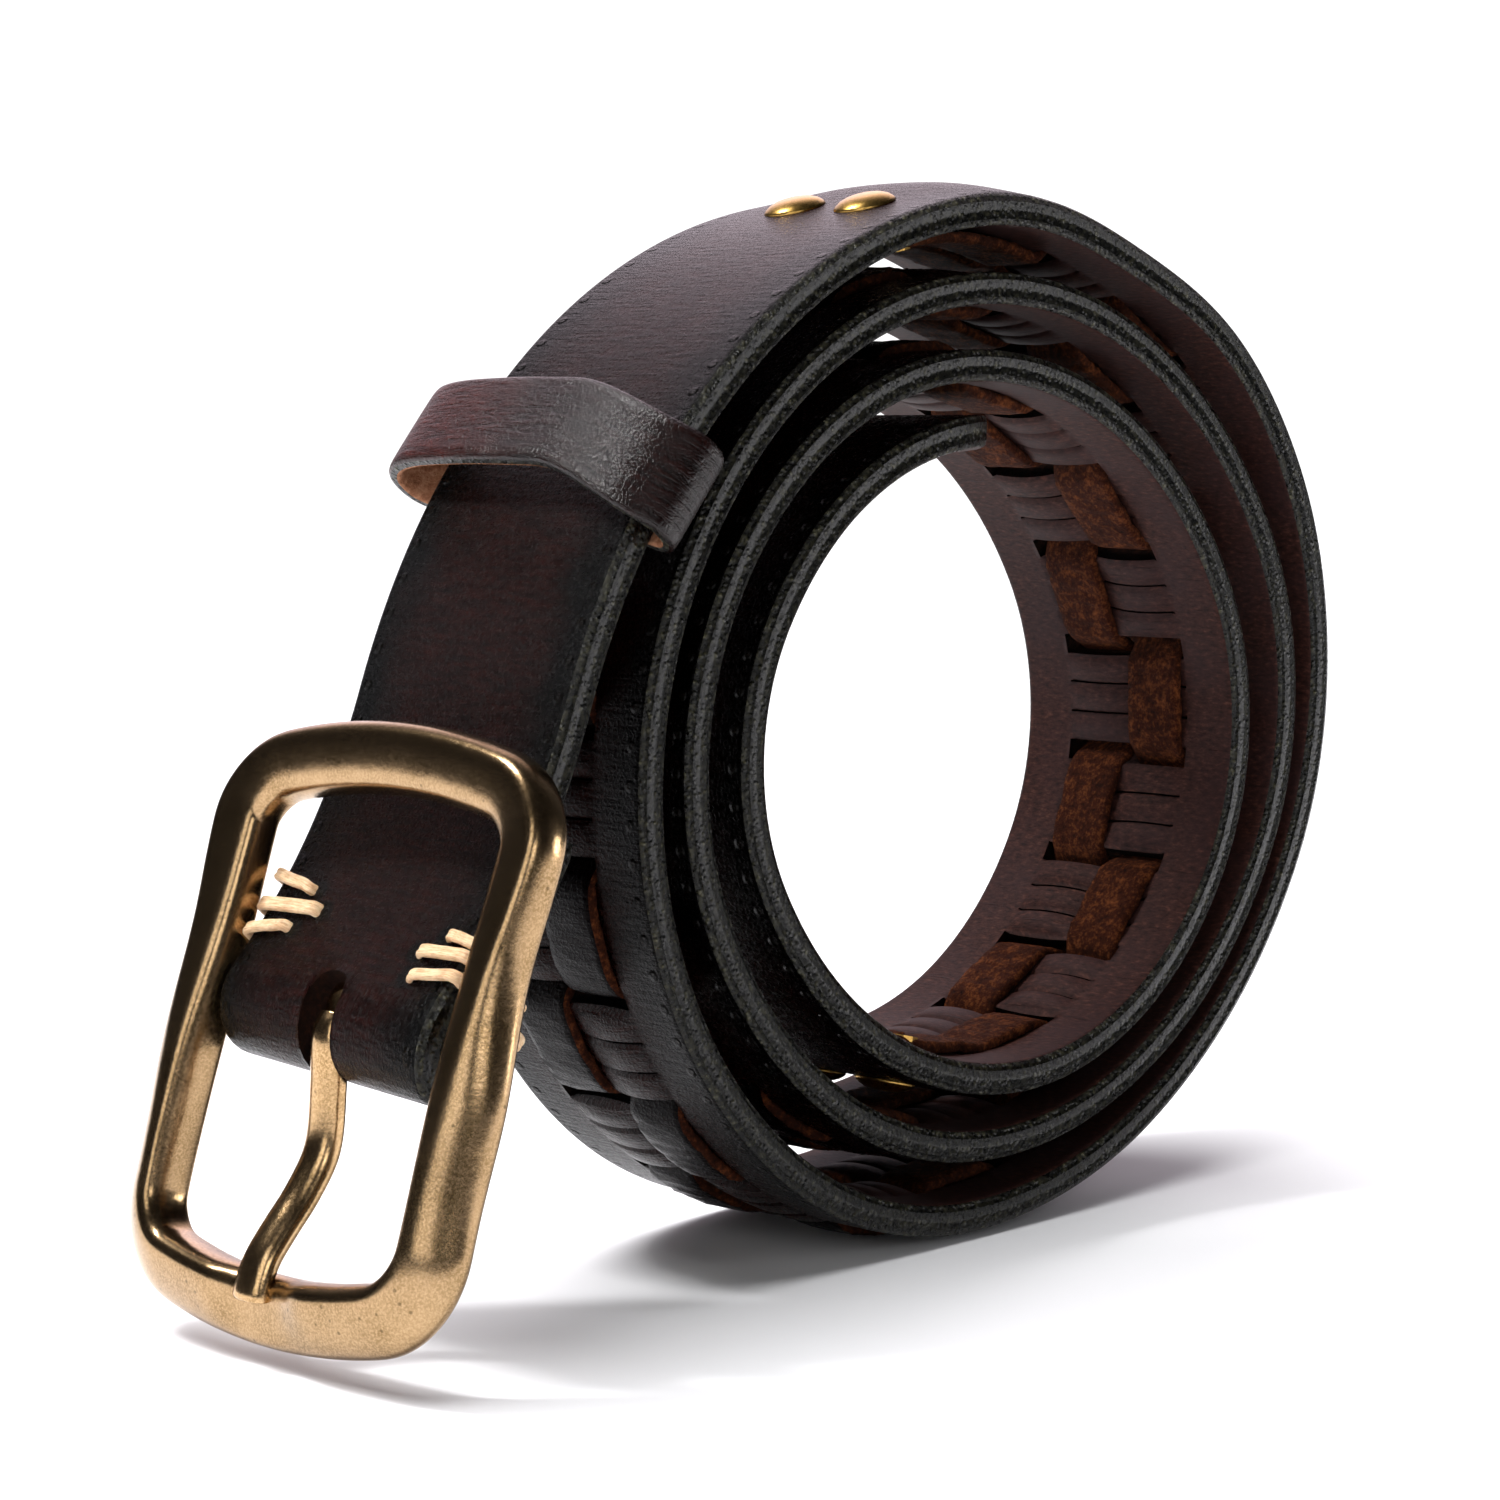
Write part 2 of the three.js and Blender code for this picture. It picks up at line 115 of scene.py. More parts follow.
# the strands of each tie: place along the strap, its start's distance from the middle,
# width, slant
TIES_NEAR = [(-141.0, 15.4, 1.5, -0.6), (-143.6, 12.2, 1.7, 0.2), (-147.0, 13.0, 1.6, 0.9)]
TIES_FAR = [(-137.6, 12.6, 1.6, 1.4), (-140.2, 9.8, 1.8, -0.3), (-143.0, 13.4, 1.5, -1.2)]
TIE_HOLE_IN = 1.2  # a strand's hole is this much nearer the middle
TIE_HOLES = [
    (s, side * (reach - TIE_HOLE_IN))
    for side, strands in ((-1, TIES_NEAR), (1, TIES_FAR))
    for s, reach, _, _ in strands
]


# ------------------------------------------------------------------ curves
def smoothstep(low, high, value):
    t = np.clip((value - low) / (high - low), 0, 1)
    return t * t * (3 - 2 * t)


def hump(value, middle, spread):
    """A bell of height 1 at middle."""
    return np.exp(-(((value - middle) / spread) ** 2))


def wobble(t, seed, scale):
    """Smooth pseudo-random wave of about unit height along t."""
    phase = seed * 1.7
    return (
        np.sin(t / scale + phase)
        + 0.6 * np.sin(2.31 * t / scale + 2.1 * phase)
        + 0.4 * np.sin(4.17 * t / scale + 3.3 * phase)
    ) / 2


def catmull_rom(p0, p1, p2, p3, f):
    return 0.5 * (
        2 * p1
        + (p2 - p0) * f
        + (2 * p0 - 5 * p1 + 4 * p2 - p3) * f**2
        + (3 * p1 - p0 - 3 * p2 + p3) * f**3
    )


def spline(values, at):
    """A curve through values at 0, 1, 2 and so on."""
    i = np.clip(np.floor(at).astype(int), 0, len(values) - 2)
    values = np.concatenate([[2 * values[0] - values[1]], values, [2 * values[-1] - values[-2]]])
    return catmull_rom(values[i], values[i + 1], values[i + 2], values[i + 3], at - i)


def closed_spline(values, at):
    """A closed curve through values at 0, 1, 2 and so on."""
    i = np.floor(at).astype(int)
    knots = (values[(i + k) % len(values)] for k in (-1, 0, 1, 2))
    return catmull_rom(*knots, at - i)


# ------------------------------------------------------------------ the strap's path
def chain(arcs, sign):
    """Where each arc starts: s, heading, x, z and its radius."""
    rows = []
    s, h, x, z = 0.0, 0.0, TOP_X, TOP_Z
    for radius, length in arcs:
        rows.append((s, h, x, z, radius))
        end = h + sign * length / radius
        x += radius * (math.sin(end) - math.sin(h))
        z += radius * (math.cos(end) - math.cos(h))
        s += sign * length
        h = end
    return np.array(rows)


COIL = chain([(r, r * math.pi / 3) for r in COIL_RADII], 1)
TAIL = chain(TAIL_ARCS, -1)


def on_path(s):
    """x, z and heading of the strap's outer CAD face at positions s."""
    s = np.asarray(s, float)
    ahead = np.clip(np.searchsorted(COIL[:, 0], s, side="right") - 1, 0, len(COIL) - 1)
    back = np.clip(np.searchsorted(-TAIL[:, 0], -s, side="right") - 1, 0, len(TAIL) - 1)
    node = np.where((s >= 0)[..., None], COIL[ahead], TAIL[back])
    s0, h0, x0, z0, radius = np.moveaxis(node, -1, 0)
    h = h0 + (s - s0) / radius
    x = x0 + radius * (np.sin(h) - np.sin(h0))
    z = z0 + radius * (np.cos(h) - np.cos(h0))
    return x, z, h


def strap_point(s, y, rise):
    """World millimetres of points on the strap."""
    s, y, rise = np.broadcast_arrays(*(np.asarray(v, float) for v in (s, y, rise)))
    x, z, h = on_path(s)
    down = CAD_THICK / 2 - rise + SETTLE * hump(s, SETTLE_AT, SETTLE_SPREAD)
    return np.stack([x - down * np.sin(h), y, z - down * np.cos(h)], -1)


def leg_rise(run):
    """Height of the turned-back leg's middle, run up from where it leaves the bar."""
    close = -(CAD_THICK + LEG_GAP)
    return -2 * BAR_DROP + (close + 2 * BAR_DROP) * smoothstep(0, LEG_EASE, run)


FOLD_ARC = math.pi * BAR_DROP
FOLD_X, FOLD_Z, FOLD_H = (float(v) for v in on_path(FOLD_AT))
END_AT = FOLD_AT - FOLD_ARC - FOLD_LEG


def whole_point(s, y, rise):
    """As strap_point, but s also runs on round the bar and up the turned-back leg."""
    s, y, rise = np.broadcast_arrays(*(np.asarray(v, float) for v in (s, y, rise)))
    flat = strap_point(np.maximum(s, FOLD_AT), y, rise)
    angle = np.clip((FOLD_AT - s) / BAR_DROP, 0, math.pi)
    radius = BAR_DROP + rise
    sag = FOLD_SAG * (1 - y / HALF_W) / 2 + FOLD_SLACK
    local_x = -(radius + sag) * np.sin(angle)
    local_z = radius * np.cos(angle) - BAR_DROP
    ch, sh = math.cos(FOLD_H), math.sin(FOLD_H)
    base_x = FOLD_X - CAD_THICK / 2 * sh
    base_z = FOLD_Z - CAD_THICK / 2 * ch
    fold = np.stack([
        base_x + local_x * ch + local_z * sh,
        y,
        base_z - local_x * sh + local_z * ch,
    ], -1)
    run = np.maximum(FOLD_AT - FOLD_ARC - s, 0)
    leg = strap_point(FOLD_AT + run, y, leg_rise(run) - rise)
    out = np.where((s < FOLD_AT)[..., None], fold, flat)
    return np.where((s < FOLD_AT - FOLD_ARC)[..., None], leg, out)


# ------------------------------------------------------------------ mesh helpers
def new_object(name, points, faces, body, materials, face_materials=None, strip=None):
    """A smooth mesh that rides a body; strip holds the points' places on the flat leather."""
    mesh = bpy.data.meshes.new(name)
    mesh.from_pydata((np.asarray(points) * MM).tolist(), [], [list(map(int, f)) for f in faces])
    for material in materials:
        mesh.materials.append(material)
    if face_materials is not None:
        mesh.polygons.foreach_set("material_index", np.asarray(face_materials, np.int32))
    mesh.polygons.foreach_set("use_smooth", np.ones(len(mesh.polygons), bool))
    if strip is not None:
        attribute = mesh.attributes.new("strip", "FLOAT_VECTOR", "POINT")
        attribute.data.foreach_set("vector", np.asarray(strip, np.float32).ravel())
    mesh.update()
    obj = bpy.data.objects.new(name, mesh)
    bpy.context.scene.collection.objects.link(obj)
    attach(obj, body)
    return obj


def flip_out(obj):
    """Makes every closed piece's faces point outward."""
    bm = bmesh.new()
    bm.from_mesh(obj.data)
    bmesh.ops.recalc_face_normals(bm, faces=bm.faces)
    bm.to_mesh(obj.data)
    bm.free()


def smooth_sections(obj, levels):
    modifier = obj.modifiers.new("smooth", "SUBSURF")
    modifier.levels = levels
    modifier.render_levels = levels


def tube_faces(rows, cols, closed=False, offset=0):
    """Faces between the rings of a tube; closed joins the last ring to the first."""
    faces = []
    for i in range(rows if closed else rows - 1):
        for j in range(cols):
            a = i * cols + j
            b = i * cols + (j + 1) % cols
            c = ((i + 1) % rows) * cols + (j + 1) % cols
            d = ((i + 1) % rows) * cols + j
            faces.append((offset + a, offset + b, offset + c, offset + d))
    return faces


def end_faces(rows, cols, offset=0):
    """The two faces that close an open tube."""
    last = offset + (rows - 1) * cols
    return [tuple(range(offset, offset + cols)), tuple(reversed(range(last, last + cols)))]


# ------------------------------------------------------------------ node helpers
# a Mix node's colour sockets
MIX_FACTOR, MIX_A, MIX_B, MIX_RESULT = 0, 6, 7, 2


def set_stops(color_ramp, stops):
    while len(color_ramp.elements) < len(stops):
        color_ramp.elements.new(0.5)
    for element, (position, colour) in zip(color_ramp.elements, stops):
        element.position = position
        if isinstance(colour, (int, float)):
            colour = (colour, colour, colour)
        element.color = (*colour, 1)


class Material:
    """A node material; add() makes a node whose inputs are values or other nodes' sockets."""

    def __init__(self, name):
        self.data = bpy.data.materials.new(name)
        self.data.use_nodes = True
        self.tree = self.data.node_tree
        self.shader = self.tree.nodes["Principled BSDF"]

    def add(self, kind, inputs=None, **settings):
        node = self.tree.nodes.new(kind)
        for key, value in settings.items():
            setattr(node, key, value)
        for key, value in (inputs or {}).items():
            self.put(node.inputs[key], value)
        return node

    def put(self, socket, value):
        if isinstance(value, bpy.types.NodeSocket):
            self.tree.links.new(value, socket)
        else:
            socket.default_value = value

    def set(self, **values):
        for key, value in values.items():
            self.put(self.shader.inputs[key.replace("_", " ")], value)

    def math(self, operation, a, b=0.0):
        return self.add("ShaderNodeMath", {0: a, 1: b}, operation=operation).outputs[0]

    def ramp(self, value, stops):
        node = self.add("ShaderNodeValToRGB", {"Fac": value})
        set_stops(node.color_ramp, stops)
        return node.outputs["Color"]

    def mix(self, factor, a, b, blend="MIX"):
        node = self.add("ShaderNodeMix", {MIX_FACTOR: factor}, data_type="RGBA", blend_type=blend)
        for key, colour in ((MIX_A, a), (MIX_B, b)):
            is_socket = isinstance(colour, bpy.types.NodeSocket)
            self.put(node.inputs[key], colour if is_socket else (*colour, 1))
        return node.outputs[MIX_RESULT]

    def multiply(self, a, b, factor):
        return self.mix(factor, a, b, "MULTIPLY")

    def fade(self, value, near, far):
        """1 up to near, down to 0 at far."""
        values = {0: value, 1: near, 2: far, 3: 1.0, 4: 0.0}
        return self.add("ShaderNodeMapRange", values).outputs[0]

    def noise(self, vector, scale, detail=4.0, roughness=0.55):
        values = {"Vector": vector, "Scale": scale, "Detail": detail, "Roughness": roughness}
        return self.add("ShaderNodeTexNoise", values).outputs["Fac"]

    def cells(self, vector, scale, feature="F1"):
        values = {"Vector": vector, "Scale": scale}
        return self.add("ShaderNodeTexVoronoi", values, feature=feature).outputs["Distance"]

    def stretch(self, vector, x, y, z):
        node = self.add("ShaderNodeVectorMath", {0: vector, 1: (x, y, z)}, operation="MULTIPLY")
        return node.outputs[0]

    def bump(self, height, distance_mm, strength, under=None, invert=False):
        values = {"Height": height, "Distance": distance_mm * MM, "Strength": strength}
        node = self.add("ShaderNodeBump", values, invert=invert)
        if under is not None:
            self.put(node.inputs["Normal"], under)
        return node.outputs["Normal"]

    def strip(self):
        """Place on the flat leather in millimetres."""
        return self.add("ShaderNodeAttribute", attribute_name="strip").outputs["Vector"]

    def place(self):
        """Object position in millimetres."""
        node = self.add("ShaderNodeTexCoord")
        return self.stretch(node.outputs["Object"], 1 / MM, 1 / MM, 1 / MM)


def srgb(r, g, b):
    return tuple((c / 255) ** 2.2 for c in (r, g, b))


def scaled(colour, factor):
    return tuple(c * factor for c in colour)


# ------------------------------------------------------------------ materials
def awl_marks(m, strip, along, across):
    """A row of small round marks near each edge: 1 in a mark, 0 outside."""
    # shifted by whole pitches, so that the fraction is taken of a positive number
    shifted = m.math("ADD", along, 1000 * PRICK_PITCH)
    step = m.math("FRACT", m.math("DIVIDE", shifted, PRICK_PITCH))
    ds = m.math("MULTIPLY", m.math("SUBTRACT", step, 0.5), PRICK_PITCH)
    dy = m.math("SUBTRACT", m.math("ABSOLUTE", across), PRICK_SIDE)
    square = m.math("ADD", m.math("MULTIPLY", ds, ds), m.math("MULTIPLY", dy, dy))
    return m.fade(m.math("SQRT", square), 0.42, 0.78)


def grain_leather(name, centre, edge, darkens, roughness, shine, relief, marked=False):
    """Pebbled, slightly wrinkled leather that darkens towards the strap's edges."""
    m = Material(name)
    strip = m.strip()
    split = m.add("ShaderNodeSeparateXYZ", {0: strip})
    along, across = split.outputs[0], split.outputs[1]
    blotch = m.noise(strip, 0.09, 5)
    fine = m.noise(strip, 1.3, 3)
    away = m.math("ABSOLUTE", across)
    away = m.math("ADD", away, m.math("MULTIPLY", m.math("SUBTRACT", blotch, 0.5), 13))
    values = {0: away, 1: darkens[0], 2: darkens[1]}
    toned = m.add("ShaderNodeMapRange", values, interpolation_type="SMOOTHSTEP").outputs[0]
    body = m.mix(m.ramp(fine, [(0.35, 0.0), (0.68, 1.0)]), scaled(centre, 0.72), centre)
    body = m.mix(m.ramp(blotch, [(0.35, 0.0), (0.7, 0.6)]), body, scaled(centre, 1.35))
    cells = m.cells(m.stretch(strip, 1.5, 1.3, 1), 1.0, "DISTANCE_TO_EDGE")
    pebble = m.ramp(cells, [(0.0, 0.0), (0.22, 1.0)])
    wrinkle = m.noise(m.stretch(strip, 1.5, 0.2, 1), 1.0, 6, 0.65)
    pores = m.noise(strip, 3.2, 3)
    normal = m.bump(pebble, 0.06 * relief, 0.8)
    normal = m.bump(wrinkle, 0.45 * relief, 0.9, normal)
    normal = m.bump(pores, 0.06 * relief, 0.8, normal)
    # painted shade in the wrinkles' creases and painted light on their crests, following the
    # wrinkle bump
    crease_shade_crest_light = m.ramp(wrinkle, [(0.36, 0.2), (0.5, 0.85), (0.62, 1.6)])
    # painted shade in the grooves between the pebbles, where the pebble bump is lowest
    pebble_groove_shade = m.ramp(cells, [(0.0, 0.55), (0.16, 1.0)])
    colour = m.multiply(m.mix(toned, body, edge), crease_shade_crest_light, 0.8)
    colour = m.multiply(colour, pebble_groove_shade, 0.8)
    if marked:
        marks = awl_marks(m, strip, along, across)
        # the awl holes are filled near-black: painted shade inside the holes
        colour = m.mix(marks, colour, (0.002, 0.0015, 0.001))
        normal = m.bump(marks, 0.5, 0.9, normal, invert=True)
        flat = m.stretch(strip, 1, 1, 0)
        # each tie hole round its strand is painted near-black: painted shade inside the hole
        for hole in TIE_HOLES:
            off = m.add("ShaderNodeVectorMath", {0: flat, 1: (*hole, 0)}, operation="DISTANCE")
            dark = m.fade(off.outputs["Value"], 1.3, 1.9)
            colour = m.mix(dark, colour, (0.001, 0.001, 0.001))
    rough = m.math("ADD", m.math("MULTIPLY", fine, 0.16), roughness - 0.08)
    m.set(Base_Color=colour, Roughness=rough, Normal=normal, Specular_IOR_Level=shine)
    return m.data


def edge_leather():
    """Burnished strap edge: dark olive, fibrous."""
    m = Material("strap_edge")
    place = m.place()
    fibre = m.noise(place, 1.0, 5, 0.7)
    bead_height_and_shade = m.ramp(m.cells(place, 1.25), [(0.1, 1.0), (0.5, 0.0)])
    tones = [(0.36, srgb(8, 8, 7)), (0.5, srgb(30, 30, 24)), (0.64, srgb(74, 72, 56))]
    # the beads' tops are painted lighter and the hollows between them darker: painted highlight
    # and painted shade following the bead bump
    colour = m.multiply(m.ramp(fibre, tones), m.ramp(bead_height_and_shade, [(0.0, 0.4), (1.0, 1.5)]), 1.0)
    normal = m.bump(fibre, 0.5, 0.9)
    normal = m.bump(bead_height_and_shade, 0.3, 0.9, normal)
    rough = m.math("ADD", m.math("MULTIPLY", fibre, 0.3), 0.14)
    m.set(Base_Color=colour, Normal=normal, Roughness=rough, Specular_IOR_Level=0.3)
    return m.data


def flesh_leather():
    """The strap's back: matt brown with pale fibres and fine creases."""
    m = Material("strap_back")
    strip = m.strip()
    broad = m.noise(strip, 0.07, 4)
    fibre = m.noise(m.stretch(strip, 1.2, 0.5, 1), 1.4, 6, 0.7)
    crease = m.noise(m.stretch(strip, 1.4, 0.09, 1), 1.0, 4, 0.6)
    creases_and_shade = m.ramp(crease, [(0.3, 0.35), (0.36, 1.0)])
    tones = [(0.32, srgb(26, 15, 13)), (0.55, srgb(54, 33, 29)), (0.76, srgb(90, 58, 48))]
    patches = m.ramp(broad, [(0.4, 0.0), (0.65, 0.5)])
    colour = m.mix(patches, m.ramp(fibre, tones), srgb(46, 33, 34))
    # painted shade in the fine creases, following their bump
    colour = m.multiply(colour, creases_and_shade, 0.7)
    normal = m.bump(fibre, 0.14, 0.7)
    normal = m.bump(creases_and_shade, 0.2, 0.6, normal)
    m.set(Base_Color=colour, Roughness=0.66, Normal=normal, Specular_IOR_Level=0.15)
    return m.data


def suede(name, low, middle, high, pile):
    """Napped leather with a short ragged pile."""
    m = Material(name)
    place = m.place()
    nap = m.noise(place, 1.5, 6, 0.75)
    tuft = m.noise(place, 0.45, 4, 0.6)
    mixed = m.math("ADD", m.math("MULTIPLY", nap, 0.65), m.math("MULTIPLY", tuft, 0.35))
    colour = m.ramp(mixed, [(0.34, low), (0.5, middle), (0.66, high)])
    normal = m.bump(nap, pile, 0.9)
    normal = m.bump(m.noise(place, 5.0, 2), 0.12, 0.8, normal)
    m.set(Base_Color=colour, Roughness=0.85, Normal=normal, Specular_IOR_Level=0.1)
    m.set(Sheen_Weight=0.1, Sheen_Roughness=0.4, Sheen_Tint=(*high, 1))
    return m.data


def antique_brass(name, base, patina, roughness):
    """Cast brass, satin, with a fine speckled patina."""
    m = Material(name)
    place = m.place()
    cloud = m.noise(place, 0.16, 5)
    speck = m.noise(place, 3.2, 4, 0.7)
    pits = m.ramp(m.cells(place, 0.42), [(0.07, 1.0), (0.12, 0.0)])
    colour = m.mix(m.ramp(speck, [(0.42, 0.0), (0.62, 1.0)]), patina, base)
    colour = m.mix(m.ramp(cloud, [(0.35, 0.0), (0.7, 0.45)]), colour, scaled(base, 1.25))
    colour = m.mix(m.math("MULTIPLY", pits, 0.6), colour, scaled(patina, 0.3))
    rough = m.math("ADD", m.math("MULTIPLY", speck, 0.14), roughness - 0.07)
    normal = m.bump(speck, 0.012, 0.5)
    normal = m.bump(cloud, 0.5, 0.2, normal)
    m.set(Base_Color=colour, Metallic=1.0, Roughness=rough, Normal=normal)
    return m.data


def rawhide_strand():
    """Pale beige lace with lengthwise fibres and a few brown stains."""
    m = Material("rawhide_strand")
    fibre = m.noise(m.stretch(m.strip(), 0.5, 4.5, 4.5), 1.0, 5, 0.7)
    stain = m.noise(m.place(), 0.5, 3)
    tones = [(0.3, srgb(176, 128, 84)), (0.5, srgb(226, 190, 148)), (0.72, srgb(246, 222, 186))]
    stains = m.ramp(stain, [(0.52, 0.0), (0.75, 0.55)])
    colour = m.mix(stains, m.ramp(fibre, tones), srgb(150, 96, 60))
    m.set(Base_Color=colour, Roughness=0.6, Normal=m.bump(fibre, 0.16, 0.9))
    m.set(Subsurface_Weight=0.1, Subsurface_Scale=0.001)
    return m.data


GRAIN = grain_leather(
    "strap_grain", srgb(30, 14, 12), srgb(5, 4, 4), darkens=(8.0, 17.5),
    roughness=0.27, shine=0.08, relief=1.0, marked=True,
)
BACK = flesh_leather()
EDGE = edge_leather()
LACE_GRAIN = grain_leather(
    "lace_grain", srgb(14, 9, 9), srgb(9, 7, 7), darkens=(60.0, 90.0),
    roughness=0.28, shine=0.06, relief=0.7,
)
SUEDE = suede("lace_suede", srgb(18, 8, 5), srgb(54, 27, 15), srgb(112, 64, 36), pile=0.6)
SLIT_WALL = suede("slit_wall", srgb(14, 9, 8), srgb(34, 22, 18), srgb(60, 36, 26), pile=0.25)
KEEPER_GRAIN = grain_leather(
    "keeper_grain", srgb(56, 22, 17), srgb(26, 13, 11), darkens=(9.0, 34.0),
    roughness=0.24, shine=0.32, relief=0.65,
)
KEEPER_LINING = suede(
    "keeper_lining", srgb(96, 60, 42), srgb(150, 104, 78), srgb(190, 142, 110), pile=0.2,
)
BRASS = antique_brass("antique_brass", srgb(170, 142, 108), srgb(128, 104, 72), 0.22)
PRONG_BRASS = antique_brass("prong_brass", srgb(200, 166, 124), srgb(148, 120, 82), 0.21)
RIVET_BRASS = antique_brass("rivet_brass", srgb(204, 164, 92), srgb(160, 122, 62), 0.3)
RAWHIDE = rawhide_strand()


# ------------------------------------------------------------------ strap
SLITS = FIRST_SLIT + SLIT_PITCH * np.arange(SLIT_COUNT)
LAST_SLIT = SLITS[-1]
BAR = (SLIT_PITCH - SLIT_LENGTH - 2 * THIN_SLIT) / 3  # length of one woven bar
BAR_ROUND = 0.45  # the row beside each bar's end
HOLES = HOLE_FIRST + HOLE_PITCH * np.arange(HOLE_COUNT)
HOLE_INNER = 1.3  # rows and columns inside a hole's square
SLOT_TOP = FOLD_AT + 1.3
SLOT_LOW = FOLD_AT - FOLD_ARC - SLOT_REACH
COLUMNS = np.array([
    0, HOLE_INNER, HOLE_RADIUS, SLOT_HALF, 3.6, 4.7, 6.0, 7.6, 9.0, 10.0, SLIT_HALF, 11.4, 13.0,
    14.6, 15.6, 16.4, PRICK_SIDE, 17.5, 18.0, 18.4, 18.76, HALF_W,
])
COLUMNS = np.concatenate([-COLUMNS[:0:-1], COLUMNS])
TINY = 0.01
OUTSIDE, INSIDE, RIM, CUT = range(4)  # the strap's material slots


def strap_rows():
    """Row positions, and the ranges in s that are cut open across the woven middle."""
    rows = list(np.arange(END_AT, FOLD_AT - FOLD_ARC, 1.5))
    rows += list(np.linspace(FOLD_AT - FOLD_ARC, FOLD_AT, 17))
    rows += list(np.linspace(FOLD_AT, FIRST_SLIT, 118))
    gaps = []
    for s in SLITS:
        gaps.append((s, s + SLIT_LENGTH))
        rows += [s, s + SLIT_LENGTH / 2]
        if s == LAST_SLIT:
            break
        start = s + SLIT_LENGTH
        for bar in range(3):
            end = start + BAR
            rows += [start, start + BAR_ROUND, (start + end) / 2, end - BAR_ROUND, end]
            if bar < 2:
                gaps.append((end, end + THIN_SLIT))
            start = end + THIN_SLIT
    rows += list(np.linspace(LAST_SLIT + SLIT_LENGTH, TIP_AT - TIP_LENGTH, 76))
    # the tip's rows crowd towards its point
    angles = np.radians(np.linspace(0, 86, 13))
    rows += list(TIP_AT - TIP_LENGTH + TIP_LENGTH * np.sin(angles))
    for at in HOLES:
        rows = [r for r in rows if abs(r - at) > HOLE_RADIUS + 0.3]
        rows += [at + d for d in (-HOLE_RADIUS, -HOLE_INNER, 0, HOLE_INNER, HOLE_RADIUS)]
    return np.array(sorted(set(np.round(rows, 4)))), gaps


def bar_bow(s, y):
    """How far the woven bars bow out (+) or in (-)."""
    group = np.floor((s - FIRST_SLIT) / SLIT_PITCH)
    woven = (s > FIRST_SLIT) & (s < LAST_SLIT + SLIT_LENGTH)
    near_lace_out = np.where(group % 2 == 0, 1.0, -1.0)
    shape = np.sin(np.pi * np.clip(np.abs(y) / SLIT_HALF, 0, 1)) ** 0.75
    t = (s - FIRST_SLIT) - group * SLIT_PITCH
    ease = smoothstep(0.0, 4.5, t) * smoothstep(0.0, 1.5, SLIT_PITCH - t)
    bow = PUSH * near_lace_out * np.sign(y) * shape * (0.45 + 0.55 * ease)
    return np.where(woven, bow, 0.0)


def belly(s, y):
    """The strap's swelling over the lace ends, near the top of the roll."""
    return BELLY * hump(s, BELLY_AT, BELLY_SPREAD) * (1 - (np.abs(y) / HALF_W) ** 2.5)


def cut_cells(rows, gaps):
    """Which cells of the strap's grid are cut away: slits, prong slot and holes."""
    mid_s = (rows[1:] + rows[:-1]) / 2
    mid_y = np.abs(COLUMNS[1:] + COLUMNS[:-1]) / 2
    cuts = [(low, high, SLIT_HALF) for low, high in gaps]
    cuts.append((SLOT_LOW, SLOT_TOP, SLOT_HALF))
    cuts += [(at - HOLE_RADIUS, at + HOLE_RADIUS, HOLE_RADIUS) for at in HOLES]
    cut = np.zeros((len(mid_s), len(mid_y)), bool)
    for low, high, half in cuts:
        cut |= ((mid_s > low) & (mid_s < high))[:, None] & (mid_y < half)[None, :]
    return cut


def rounding(rows, gaps, s, y):
    """How far the strap's faces sink towards its outer edges, its end and its slits."""
    to_rim = np.clip(np.minimum(HALF_W - np.abs(y), s - END_AT), 0, EDGE_ROUND)
    drop = EDGE_ROUND - np.sqrt(np.maximum(EDGE_ROUND**2 - (EDGE_ROUND - to_rim) ** 2, 0))
    edges = np.array(gaps).ravel()
    to_gap = np.abs(rows[:, None] - edges[None, :]).min(1)[:, None]
    in_weave = (np.abs(y) < SLIT_HALF - 0.1) & (to_gap < SLIT_ROUND)
    slit_drop = np.where(in_weave, SLIT_ROUND * (1 - to_gap / SLIT_ROUND) ** 2, 0)
    return drop + np.where(to_gap < TINY, slit_drop, slit_drop * 0.4)


def round_slot(rows, s, y):
    """Moves the rows at the prong slot's two ends into half circles."""
    inset = SLOT_HALF - np.sqrt(np.maximum(SLOT_HALF**2 - y**2, 0))
    for end, sign in ((SLOT_TOP, 1), (SLOT_LOW, -1)):
        row = rows[np.abs(rows - end).argmin()]
        near = hump(s, row, 2.2) * (np.abs(y) <= SLOT_HALF + TINY)
        s = s - sign * near * inset * 0.8
    return s


def round_holes(s, y):
    """Moves the points of each adjusting hole's square on to a circle."""
    for at in HOLES:
        inside = (np.abs(s - at) < HOLE_RADIUS + TINY) & (np.abs(y) < HOLE_RADIUS + TINY)
        ds, dy = (s - at) / HOLE_RADIUS, y / HOLE_RADIUS
        square = np.maximum(np.abs(ds), np.abs(dy))
        length = np.maximum(np.hypot(ds, dy), 1e-9)
        s = np.where(inside, at + HOLE_RADIUS * ds * square / length, s)
        y = np.where(inside, HOLE_RADIUS * dy * square / length, y)
    return s, y


def wall_faces(keep, quads, count):
    """Faces through the strap wherever a kept cell has no neighbour, with their materials."""
    rows, cols = keep.shape[0] + 1, keep.shape[1] + 1
    padded = np.pad(keep, 1)
    # the neighbour on each side, and the cell's two corners there
    sides = [
        (padded[:-2, 1:-1], (0, 3)),
        (padded[2:, 1:-1], (2, 1)),
        (padded[1:-1, :-2], (1, 0)),
        (padded[1:-1, 2:], (3, 2)),
    ]
    walls, kinds = [], []
    for neighbour, (a, b) in sides:
        corner = quads[keep & ~neighbour]
        p, q = corner[:, a], corner[:, b]
        walls.append(np.stack([p, q, q + count, p + count], -1))
        on_rim = np.abs(COLUMNS[p % cols]) > HALF_W - TINY
        on_rim |= (p // cols == 0) | (p // cols == rows - 1)
        kinds.append(np.where(on_rim, RIM, CUT))
    return walls, kinds


